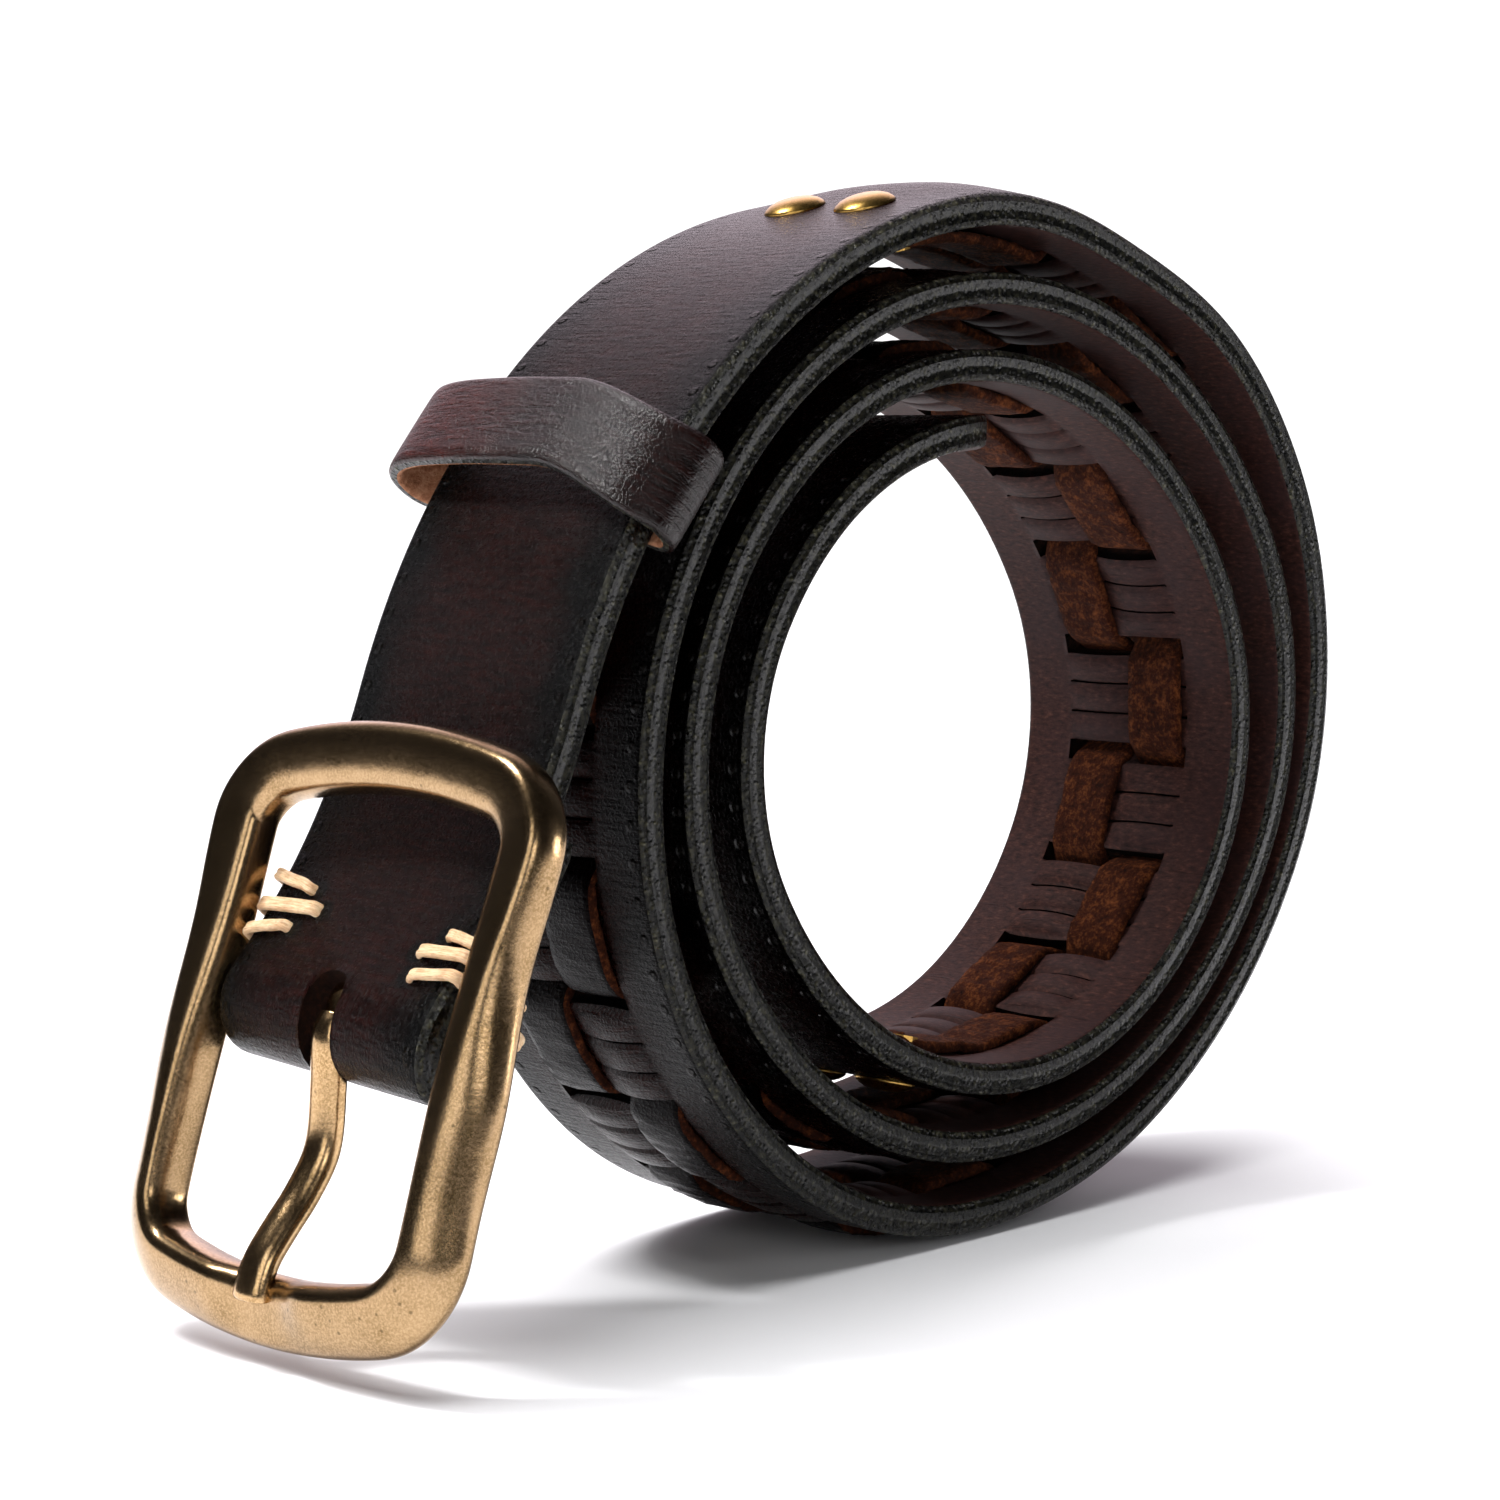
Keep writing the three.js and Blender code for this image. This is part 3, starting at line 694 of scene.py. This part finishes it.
def build_strap():
    rows, gaps = strap_rows()
    s = np.repeat(rows[:, None], len(COLUMNS), 1)
    y = np.repeat(COLUMNS[None, :], len(rows), 0)
    sunk = rounding(rows, gaps, s, y)
    s, y = round_holes(round_slot(rows, s, y), y)
    tip = np.clip((s - (TIP_AT - TIP_LENGTH)) / TIP_LENGTH, 0, 0.9995)
    narrowed = y * np.sqrt(1 - tip**2)
    lift = bar_bow(s, y) + belly(s, y)
    lift = lift + 0.12 * wobble(s, 2, 23) * smoothstep(4, 18, np.abs(y))
    outer = whole_point(s, narrowed, lift + HALF_T - sunk)
    inner_lift = bar_bow(s, y) * 0.9 + 0.35 * belly(s, y)
    inner = whole_point(s, narrowed, inner_lift - HALF_T + sunk)

    index = np.arange(s.size).reshape(s.shape)
    quads = np.stack([index[:-1, :-1], index[1:, :-1], index[1:, 1:], index[:-1, 1:]], -1)
    keep = ~cut_cells(rows, gaps)
    walls, wall_kinds = wall_faces(keep, quads, s.size)
    faces = np.concatenate([quads[keep][:, ::-1], quads[keep] + s.size, *walls])
    across = np.abs(COLUMNS[1:] + COLUMNS[:-1])[None, :].repeat(len(rows) - 1, 0)[keep] / 2
    rounded = across > HALF_W - EDGE_ROUND * 0.62
    kinds = [np.where(rounded, RIM, side) for side in (OUTSIDE, INSIDE)]
    kinds = np.concatenate([*kinds, *wall_kinds])
    strip = np.stack([s, y, lift], -1).reshape(-1, 3)
    strip = np.concatenate([strip, strip])
    points = np.concatenate([outer.reshape(-1, 3), inner.reshape(-1, 3)])
    materials = [GRAIN, BACK, EDGE, SLIT_WALL]
    obj = new_object("strap_leather", points, faces, "belt", materials, kinds, strip)
    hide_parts("strap")


# ------------------------------------------------------------------ laces
LACE_SECTION = np.array([  # columns 8 to 13 are the outer, grain side
    (-1.0, -0.25), (-0.93, -0.85), (-0.72, -1.0), (-0.3, -1.04), (0.3, -1.04), (0.72, -1.0),
    (0.93, -0.85), (1.0, -0.25), (1.0, 0.25), (0.93, 0.85), (0.72, 1.0), (0.3, 1.08),
    (-0.3, 1.08), (-0.72, 1.0), (-0.93, 0.85), (-1.0, 0.25),
])


def lace_line(outside_first):
    """Places along the strap and the lace's rise there, over and under the bars."""
    over = HALF_T - PUSH + LACE_THICK / 2 + LACE_GAP
    end_rise = -over - LACE_END_DROP
    knots = [(FIRST_SLIT - LACE_START, end_rise), (FIRST_SLIT - 1, end_rise)]
    for i, at in enumerate(SLITS[:-1]):
        outside = (i % 2 == 0) == outside_first
        rise = over if outside else -over
        crown = math.copysign(0.28 if outside else 0.5, rise)
        start, end = at + SLIT_LENGTH, at + SLIT_PITCH
        knots += [
            (start + 0.2, rise * 0.92),
            (start + 3.0, rise + crown * 0.75),
            ((start + end) / 2, rise + crown),
            (end - 3.0, rise + crown * 0.75),
            (end - 0.2, rise * 0.92),
        ]
    knots += [(LAST_SLIT + SLIT_LENGTH + 1, end_rise), (LAST_SLIT + LACE_END, end_rise)]
    knots = np.array(knots)
    s = np.arange(knots[0, 0], knots[-1, 0], 0.8)
    rise = np.interp(s, knots[:, 0], knots[:, 1])
    return s, np.convolve(np.pad(rise, 1, "edge"), np.array([1, 2, 1]) / 4, "valid")


def build_lace(name, side, outside_first):
    s, rise = lace_line(outside_first)
    tilt = np.arctan(np.gradient(rise, s))
    half = LACE_HALF + 0.16 * wobble(s, 3 + side, 2.3) + 0.12 * wobble(s, 5 - side, 0.9)
    shift = side * LACE_CENTRE + 0.35 * wobble(s, 8 + side, 19)
    rows, cols = len(s), len(LACE_SECTION)
    rough = 0.07 * rng.standard_normal((rows, cols))
    y = LACE_SECTION[None, :, 0] * half[:, None] + shift[:, None]
    out = LACE_SECTION[None, :, 1] * (LACE_THICK / 2) + rough
    along = s[:, None] - out * np.sin(tilt)[:, None]
    up = rise[:, None] + out * np.cos(tilt)[:, None]
    points = strap_point(along, y, up).reshape(-1, 3)
    faces = [f[::-1] for f in tube_faces(rows, cols)] + end_faces(rows, cols)
    column = np.tile(np.arange(cols), rows - 1)
    kinds = np.where((column >= 8) & (column <= 13), 0, 1)
    kinds = np.concatenate([kinds, [1, 1]])
    strip = np.stack([along, y, up], -1).reshape(-1, 3)
    obj = new_object(name + "_leather", points, faces, "belt", [LACE_GRAIN, SUEDE], kinds, strip)
    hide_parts(name)


# ------------------------------------------------------------------ rivets
def build_rivets():
    radius, height = np.array(RIVET_PROFILE).T
    around = np.radians(np.arange(0, 360, 10))
    ds = radius[:, None] * np.cos(around)[None, :]
    dy = radius[:, None] * np.sin(around)[None, :]
    rows, cols = ds.shape
    faces = tube_faces(rows, cols) + [(rows * cols, (j + 1) % cols, j) for j in range(cols)]
    faces = [f[::-1] for f in faces]
    faces.append(tuple(range((rows - 1) * cols, rows * cols)))
    spots = [(s, side) for s in RIVETS_AT for side in (-RIVET_SIDE, RIVET_SIDE)]
    for i, (s, side) in enumerate(spots):
        slope = float(belly(s + 1, side) - belly(s - 1, side)) / 2
        base = HALF_T + float(belly(s, side)) - RIVET_SINK
        up = base + height[:, None] + ds * slope
        x, _, z = strap_point(s, 0, 0)
        heading = float(on_path(s)[2])
        ch, sh = math.cos(heading), math.sin(heading)
        points = np.stack([x + ds * ch + up * sh, dy + side, z - ds * sh + up * ch], -1)
        top = [x + (base + RIVET_TOP) * sh, side, z + (base + RIVET_TOP) * ch]
        points = np.vstack([points.reshape(-1, 3), top])
        obj = new_object(f"rivet_dome_{i + 1}", points, faces, "belt", [RIVET_BRASS])
        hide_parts(f"rivet_cap_{i + 1}")
        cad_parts[f"rivet_post_{i + 1}"].data.materials.clear()
        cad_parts[f"rivet_post_{i + 1}"].data.materials.append(RIVET_BRASS)


# ------------------------------------------------------------------ buckle
# Its own frame: v down from the bar's axis, y across (+ on the near side), w to the front.
LEAN = math.radians(BUCKLE_LEAN)
DOWN = np.array([-math.sin(LEAN), 0, -math.cos(LEAN)])
FRONT = np.array([-math.cos(LEAN), 0, math.sin(LEAN)])
ACROSS = np.cross(FRONT, DOWN)
BAR_AXIS = whole_point(FOLD_AT, 0, -BAR_DROP)
FRAME_HALF = 25.5  # the frame's centre line: half width, ends and corner radius
FRAME_TOP = -28.2
FRAME_BOTTOM = 33.8
FRAME_CORNER = 6.5
FRAME_ARCH = 3.9  # how far each end bows outward
FRAME_WAIST = 0.4  # how far the sides draw in beside the bar
FRAME_SHIFT = 1.2  # the frame sits this far to the near side
FRAME_FRONT = 4.9  # the section's middle in front of the bar's axis
PRONG_DISH = 1.7
# sections, out from the centre line and to the front: inner foot and wall, face, outer wall,
# back; the crest lies outside at the top of the buckle and inside at its foot
UPPER_SECTION = np.array([
    (-3.2, -2.5), (-3.75, -1.9), (-3.8, -0.5), (-3.5, 1.2), (-2.6, 2.3), (0.2, 2.9), (2.0, 3.1),
    (3.1, 2.5), (3.8, 1.0), (3.8, -1.2), (3.4, -2.4), (1.8, -2.8), (-1.6, -2.8),
])
LOWER_SECTION = np.array([
    (-3.2, -2.5), (-3.75, -1.9), (-3.8, -0.3), (-3.6, 1.8), (-2.9, 3.3), (-1.9, 3.9), (-0.7, 3.6),
    (1.4, 2.2), (3.2, 0.4), (3.8, -1.0), (3.4, -2.4), (1.8, -2.8), (-1.6, -2.8),
])
# the bar with a boss at each end: place across, radius
BAR_PROFILE = np.array([
    (-24.6, 3.5), (-21.9, 3.4), (-21.2, 2.9), (-20.0, BAR_RADIUS),
    (20.0, BAR_RADIUS), (21.2, 2.9), (21.9, 3.4), (24.6, 3.5),
])
PRONG_LINE = np.array([  # down, to the front
    (0.9, 3.9), (3.6, 4.5), (9, 3.0), (16, 1.6), (21.5, 2.9), (26, 4.9), (30, 6.5),
    (33.6, 6.9), (35.0, 6.7),
])
PRONG_SECTION = np.array([
    (-0.7, -1.0), (-1.0, -0.62), (-1.0, 0.1), (-0.62, 0.78), (0.0, 1.0), (0.62, 0.78), (1.0, 0.1),
    (1.0, -0.62), (0.7, -1.0),
])
PRONG_HALF_W = 2.55
PRONG_HALF_T = 1.75
PRONG_EYE = np.array([  # radius, place across
    (2.75, -2.2), (2.75, 2.2), (3.4, 2.35), (4.2, 2.2), (4.6, 1.4), (4.6, -1.4), (4.2, -2.2),
    (3.4, -2.35),
])


def buckle_point(v, y, w):
    v, y, w = np.broadcast_arrays(*(np.asarray(t, float) for t in (v, y, w)))
    return BAR_AXIS + v[..., None] * DOWN + y[..., None] * ACROSS + w[..., None] * FRONT


def frame_loop(count):
    """Centre line of the buckle's frame: positions v, y and the outward direction there."""
    v_low, v_high = FRAME_BOTTOM - FRAME_CORNER, FRAME_TOP + FRAME_CORNER
    side = FRAME_HALF - FRAME_CORNER
    points = []
    corners = [(v_low, side, 0), (v_high, side, 90), (v_high, -side, 180), (v_low, -side, 270)]
    for cv, cy, start in corners:
        for a in np.radians(np.linspace(start, start + 90, 19)):
            points.append((cv + FRAME_CORNER * math.cos(a), cy + FRAME_CORNER * math.sin(a)))
    points = np.array(points + points[:1])
    length = np.concatenate([[0], np.cumsum(np.hypot(*np.diff(points, axis=0).T))])
    at = np.linspace(0, length[-1], count + 1)[:-1]
    v = np.interp(at, length, points[:, 0])
    y = np.interp(at, length, points[:, 1])
    arch = FRAME_ARCH * (1 - (y / FRAME_HALF) ** 2) - FRAME_ARCH * 0.55
    v = v + np.sign(v) * arch * smoothstep(12, 30, np.abs(v))
    y = y - np.sign(y) * FRAME_WAIST * hump(v, -4, 14)
    tv = np.roll(v, -1) - np.roll(v, 1)
    ty = np.roll(y, -1) - np.roll(y, 1)
    size = np.hypot(tv, ty)
    return v, y, ty / size, -tv / size


def build_buckle():
    v, y, out_v, out_y = frame_loop(132)
    turned = smoothstep(-26, 24, v)[:, None, None]
    section = UPPER_SECTION * (1 - turned) + LOWER_SECTION * turned
    width = 1.06 + 0.08 * smoothstep(20, 31, np.abs(v))
    out = section[:, :, 0] * width[:, None]
    raised = np.clip(section[:, :, 1] / 3, 0, 1)  # 1 on the face
    front = section[:, :, 1] + FRAME_FRONT - 0.5 * (v[:, None] / 35) ** 2
    front = front + 0.5 * hump(v, 6, 12)[:, None] * raised
    # a dish in the lower bar takes the prong's tip
    dish = np.exp(-((y / 6.5) ** 4)) * (v > 20)
    front = front - PRONG_DISH * dish[:, None] * raised
    # the outer wall draws in above the bar and swells beside it
    swell = 0.5 * hump(v, 9, 7) - 0.5 * hump(v, -7, 7)
    out = out + swell[:, None] * np.clip(section[:, :, 0] / 3, 0, 1)
    pv = v[:, None] + out_v[:, None] * out
    py = y[:, None] + out_y[:, None] * out + FRAME_SHIFT
    points = buckle_point(pv, py, front).reshape(-1, 3)
    faces = tube_faces(*out.shape, closed=True)
    offset = len(points)
    around = np.radians(np.arange(0, 360, 20))
    radius = BAR_PROFILE[:, 1, None]
    across = np.repeat(BAR_PROFILE[:, 0, None], len(around), 1)
    bar = buckle_point(radius * np.cos(around), across, radius * np.sin(around)).reshape(-1, 3)
    faces += tube_faces(*across.shape, offset=offset) + end_faces(*across.shape, offset)
    points = np.vstack([points, bar])
    obj = new_object("buckle_frame_brass", points, faces, "buckle", [BRASS])
    flip_out(obj)
    smooth_sections(obj, 2)
    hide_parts("buckle_frame")


def build_prong():
    fine = np.linspace(0, len(PRONG_LINE) - 1, 41)
    v, w = (spline(PRONG_LINE[:, j], fine) for j in range(2))
    along_v, along_w = np.gradient(v), np.gradient(w)
    size = np.hypot(along_v, along_w)
    up_v, up_w = -along_w / size, along_v / size
    u = fine / fine[-1]
    half_w = PRONG_HALF_W * (1 + 0.12 * u) * (1 - 0.1 * smoothstep(0.95, 1.0, u))
    half_t = PRONG_HALF_T * (1 - 0.18 * u) * (1 - 0.25 * smoothstep(0.93, 1.0, u))
    up = PRONG_SECTION[None, :, 1] * half_t[:, None]
    y = PRONG_SECTION[None, :, 0] * half_w[:, None]
    pv = v[:, None] + up * up_v[:, None]
    pw = w[:, None] + up * up_w[:, None]
    points = buckle_point(pv, y, pw).reshape(-1, 3)
    faces = tube_faces(*up.shape) + end_faces(*up.shape)
    offset = len(points)
    around = np.radians(np.arange(0, 360, 15))
    radius = PRONG_EYE[None, :, 0]
    across = np.repeat(PRONG_EYE[None, :, 1], len(around), 0)
    eye = buckle_point(
        np.cos(around)[:, None] * radius, across, np.sin(around)[:, None] * radius,
    ).reshape(-1, 3)
    faces += tube_faces(*across.shape, closed=True, offset=offset)
    points = np.vstack([points, eye])
    obj = new_object("buckle_prong_brass", points, faces, "prong", [PRONG_BRASS])
    flip_out(obj)
    smooth_sections(obj, 2)
    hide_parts("buckle_prong")


# ------------------------------------------------------------------ keeper
# section of the band: position along the strap, and thickness out of the loop; columns 1 to 8
# are its outside, 0 and 9 its edges
KEEPER_SECTION = np.array([
    (-6.5, -0.55), (-6.5, 0.5), (-6.2, 0.93), (-5.3, 1.03), (-2.5, 1.06), (0, 1.06), (2.5, 1.06),
    (5.3, 1.03), (6.2, 0.93), (6.5, 0.5), (6.5, -0.55), (6.2, -0.95), (5.0, -1.0), (0, -1.0),
    (-5.0, -1.0), (-6.2, -0.95),
])


def keeper_point(s, y, rise):
    """Points on the flat frame that touches the strap at the keeper's middle."""
    x, z, h = (float(t) for t in on_path(KEEPER_AT))
    down = CAD_THICK / 2 - rise
    d = s - KEEPER_AT
    ch, sh = math.cos(h), math.sin(h)
    return np.stack([x + d * ch - down * sh, y + 0 * d, z - d * sh - down * ch], -1)


def build_keeper():
    knots = np.array(KEEPER_LOOP)
    turn = np.arange(0, len(knots), 0.2)
    loop = np.stack([closed_spline(knots[:, j], turn) for j in range(2)], -1)
    tangent = np.roll(loop, -1, 0) - np.roll(loop, 1, 0)
    tangent /= np.hypot(tangent[:, 0], tangent[:, 1])[:, None]
    out = np.stack([tangent[:, 1], -tangent[:, 0]], -1)
    out *= np.sign((out * loop).sum(1).mean())
    grow = KEEPER_SECTION[None, :, 1] + 0.05 * wobble(turn * 7, 4, 7)[:, None]
    y = loop[:, 0, None] + out[:, 0, None] * grow
    rise = loop[:, 1, None] + out[:, 1, None] * grow
    near_side = smoothstep(2, 24, -y)
    width = KEEPER_SECTION[None, :, 0] * (1 + KEEPER_WIDEN * near_side)
    along = KEEPER_AT + width - KEEPER_PULL * near_side
    points = keeper_point(along, y, rise).reshape(-1, 3)
    rows, cols = grow.shape
    faces = tube_faces(rows, cols, closed=True)
    column = np.tile(np.arange(cols), rows)
    is_edge = (column == 0) | (column == 9)
    kinds = np.where((column >= 1) & (column <= 8), 0, np.where(is_edge, 2, 1))
    run = np.cumsum(np.hypot(np.gradient(loop[:, 0]), np.gradient(loop[:, 1])))
    flat = np.broadcast_arrays(KEEPER_SECTION[None, :, 0], run[:, None], grow)
    strip = np.stack(flat, -1).reshape(-1, 3)
    materials = [KEEPER_GRAIN, KEEPER_LINING, EDGE]
    obj = new_object("keeper_leather", points, faces, "keeper", materials, kinds, strip)
    flip_out(obj)
    smooth_sections(obj, 1)
    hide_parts("keeper")


# ------------------------------------------------------------------ ties
TIE_SECTION = np.array([
    (-1, -0.5), (-1.02, 0.1), (-0.85, 0.5), (-0.4, 0.62), (-0.05, 0.42), (0.35, 0.6), (0.82, 0.52),
    (1.02, 0.1), (1, -0.5), (0.3, -0.6), (-0.4, -0.6),
])
TIE_THICK = 0.8
TIE_LIFT = 0.62  # a strand's middle above the leather
TIE_SIDE = 0.72  # and outside the strap's edge


def tie_path(s, reach):
    """Up through its hole, over the strap's edge and in behind: slant, y and rise."""
    top = HALF_T + TIE_LIFT
    edge = HALF_W + TIE_SIDE
    back = float(leg_rise(s - FOLD_AT)) - HALF_T - TIE_LIFT
    return np.array([
        (0.0, reach - 0.9, top - 2.6), (0.0, reach - 0.7, top - 1.2),
        (0.0, reach - 0.1, top - 0.15), (0.25, reach + 1.0, top + 0.08),
        (0.5, (reach + edge) / 2, top + 0.05), (0.9, edge - 1.0, top - 0.02),
        (1.0, edge - 0.15, top - 0.5), (1.05, edge, top - 1.6),
        (1.1, edge, (top + back) / 2), (1.05, edge, back + 1.6),
        (1.0, edge - 0.3, back + 0.3), (0.9, edge - 1.4, back),
        (0.6, edge - 4.0, back), (0.5, edge - 5.6, back + 0.2),
    ])


def build_ties():
    for name, side, strands in (("tie_near", -1, TIES_NEAR), ("tie_far", 1, TIES_FAR)):
        points, faces, strip = [], [], []
        for k, (s, reach, width, slant) in enumerate(strands):
            path = tie_path(s, reach)
            fine = np.linspace(0, len(path) - 1, 53)
            lean, y, rise = (spline(path[:, j], fine) for j in range(3))
            along_y, along_rise = np.gradient(y), np.gradient(rise)
            size = np.hypot(along_y, along_rise)
            out_y, out_rise = -along_rise / size, along_y / size
            rows, cols = len(fine), len(TIE_SECTION)
            half = width / 2 * (1 + 0.1 * wobble(fine, k + 3 * side, 4))
            da = TIE_SECTION[None, :, 0] * half[:, None]
            rough = 0.04 * rng.standard_normal((rows, cols))
            dn = TIE_SECTION[None, :, 1] * TIE_THICK + rough
            along = (s + slant * lean)[:, None] + da
            py = side * (y[:, None] + dn * out_y[:, None])
            points.append(strap_point(along, py, rise[:, None] + dn * out_rise[:, None]))
            offset = k * rows * cols
            faces += tube_faces(rows, cols, offset=offset) + end_faces(rows, cols, offset)
            run = np.broadcast_to(np.cumsum(size)[:, None], da.shape)
            strip.append(np.stack([run, da, dn + k * 9], -1))
        points = np.vstack([p.reshape(-1, 3) for p in points])
        strip = np.vstack([p.reshape(-1, 3) for p in strip])
        obj = new_object(name + "_rawhide", points, faces, "belt", [RAWHIDE], strip=strip)
        flip_out(obj)
        smooth_sections(obj, 1)
        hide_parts(name)


# ------------------------------------------------------------------ studio
FLOOR_HALF = 3.0
BEHIND = (0.62, 0.6, 0.5)  # the direction of the world's bright side
WORLD_STOPS = [
    (0.0, (0.02, 0.021, 0.024)), (0.6, (0.03, 0.031, 0.034)), (0.8, (0.1, 0.1, 0.11)),
    (0.92, (1.05, 0.91, 1.0)), (1.0, (2.6, 2.2, 2.45)),
]
BACKDROP = 1.25  # strength of the plain white that only the camera sees
SUN_POWER = 4.3
BELT_MIDDLE = (0.0, 0.0, 0.07)
# place, what it points at, width, height and watts
AREA_LIGHTS = {
    "keeper_light": ((-0.32, 0.38, 0.86), (-0.05, 0, 0.11), 0.05, 0.25, 5.5),
    "front_left": ((-1.0, -0.32, 0.55), BELT_MIDDLE, 0.4, 0.8, 2.2),
    "front_fill": ((-0.75, -0.9, 0.5), BELT_MIDDLE, 0.4, 0.3, 1.3),
    "right_strip": ((0.7, -0.75, 0.14), BELT_MIDDLE, 0.25, 0.25, 2.0),
}


def facing(at, aim):
    """The rotation of a lamp at one place that points at another."""
    return (Vector(aim) - Vector(at)).to_track_quat("-Z", "Y").to_euler()


def build_floor():
    h = FLOOR_HALF
    mesh = bpy.data.meshes.new("floor")
    mesh.from_pydata([(-h, -h, 0), (h, -h, 0), (h, h, 0), (-h, h, 0)], [], [(0, 1, 2, 3)])
    floor = bpy.data.objects.new("floor", mesh)
    bpy.context.scene.collection.objects.link(floor)
    m = Material("floor_white")
    m.set(Base_Color=(0.94, 0.94, 0.96, 1), Roughness=0.9, Specular_IOR_Level=0.1)
    mesh.materials.append(m.data)


def build_world():
    """Bright behind the object, dim on the side it is seen from, and white to the camera."""
    world = bpy.data.worlds.new("studio")
    bpy.context.scene.world = world
    world.use_nodes = True
    nodes, link = world.node_tree.nodes, world.node_tree.links.new
    coord = nodes.new("ShaderNodeTexCoord")
    towards = nodes.new("ShaderNodeVectorMath")
    towards.operation = "DOT_PRODUCT"
    towards.inputs[1].default_value = BEHIND
    ramp = nodes.new("ShaderNodeValToRGB")
    set_stops(ramp.color_ramp, WORLD_STOPS)
    lit = nodes["Background"]
    lit.inputs["Strength"].default_value = 1.0
    seen = nodes.new("ShaderNodeBackground")
    seen.inputs["Color"].default_value = (1, 1, 1, 1)
    seen.inputs["Strength"].default_value = BACKDROP
    path = nodes.new("ShaderNodeLightPath")
    mix = nodes.new("ShaderNodeMixShader")
    link(coord.outputs["Generated"], towards.inputs[0])
    link(towards.outputs["Value"], ramp.inputs["Fac"])
    link(ramp.outputs["Color"], lit.inputs["Color"])
    link(path.outputs["Is Camera Ray"], mix.inputs[0])
    link(lit.outputs[0], mix.inputs[1])
    link(seen.outputs[0], mix.inputs[2])
    link(mix.outputs[0], nodes["World Output"].inputs["Surface"])


def build_lights():
    sun = bpy.data.lights.new("overhead", "SUN")
    sun.energy = SUN_POWER
    sun.angle = math.radians(60)
    lamp = bpy.data.objects.new("overhead", sun)
    lamp.rotation_euler = facing((-0.1, 0.2, 1.0), (0, 0, 0))
    lamp.visible_glossy = False
    bpy.context.scene.collection.objects.link(lamp)
    for name, (at, aim, width, height, power) in AREA_LIGHTS.items():
        light = bpy.data.lights.new(name, "AREA")
        light.shape = "RECTANGLE"
        light.size = width
        light.size_y = height
        light.energy = power
        lamp = bpy.data.objects.new(name, light)
        lamp.location = at
        lamp.rotation_euler = facing(at, aim)
        bpy.context.scene.collection.objects.link(lamp)


def build_camera():
    data = bpy.data.cameras.new("camera")
    data.sensor_width = 36
    data.lens = 84.47
    data.clip_start = 0.01
    camera = bpy.data.objects.new("camera", data)
    camera.location = (-0.33793, -0.3144, 0.10755)
    camera.rotation_euler = (math.radians(90 - 5.28), 0, math.radians(-46.23))
    bpy.context.scene.collection.objects.link(camera)
    bpy.context.scene.camera = camera


build_camera()
build_strap()
build_lace("lace_near", -1, True)
build_lace("lace_far", 1, False)
build_rivets()
build_buckle()
build_prong()
build_keeper()
build_ties()
build_floor()
build_world()
build_lights()
bpy.context.scene.view_settings.view_transform = "Standard"
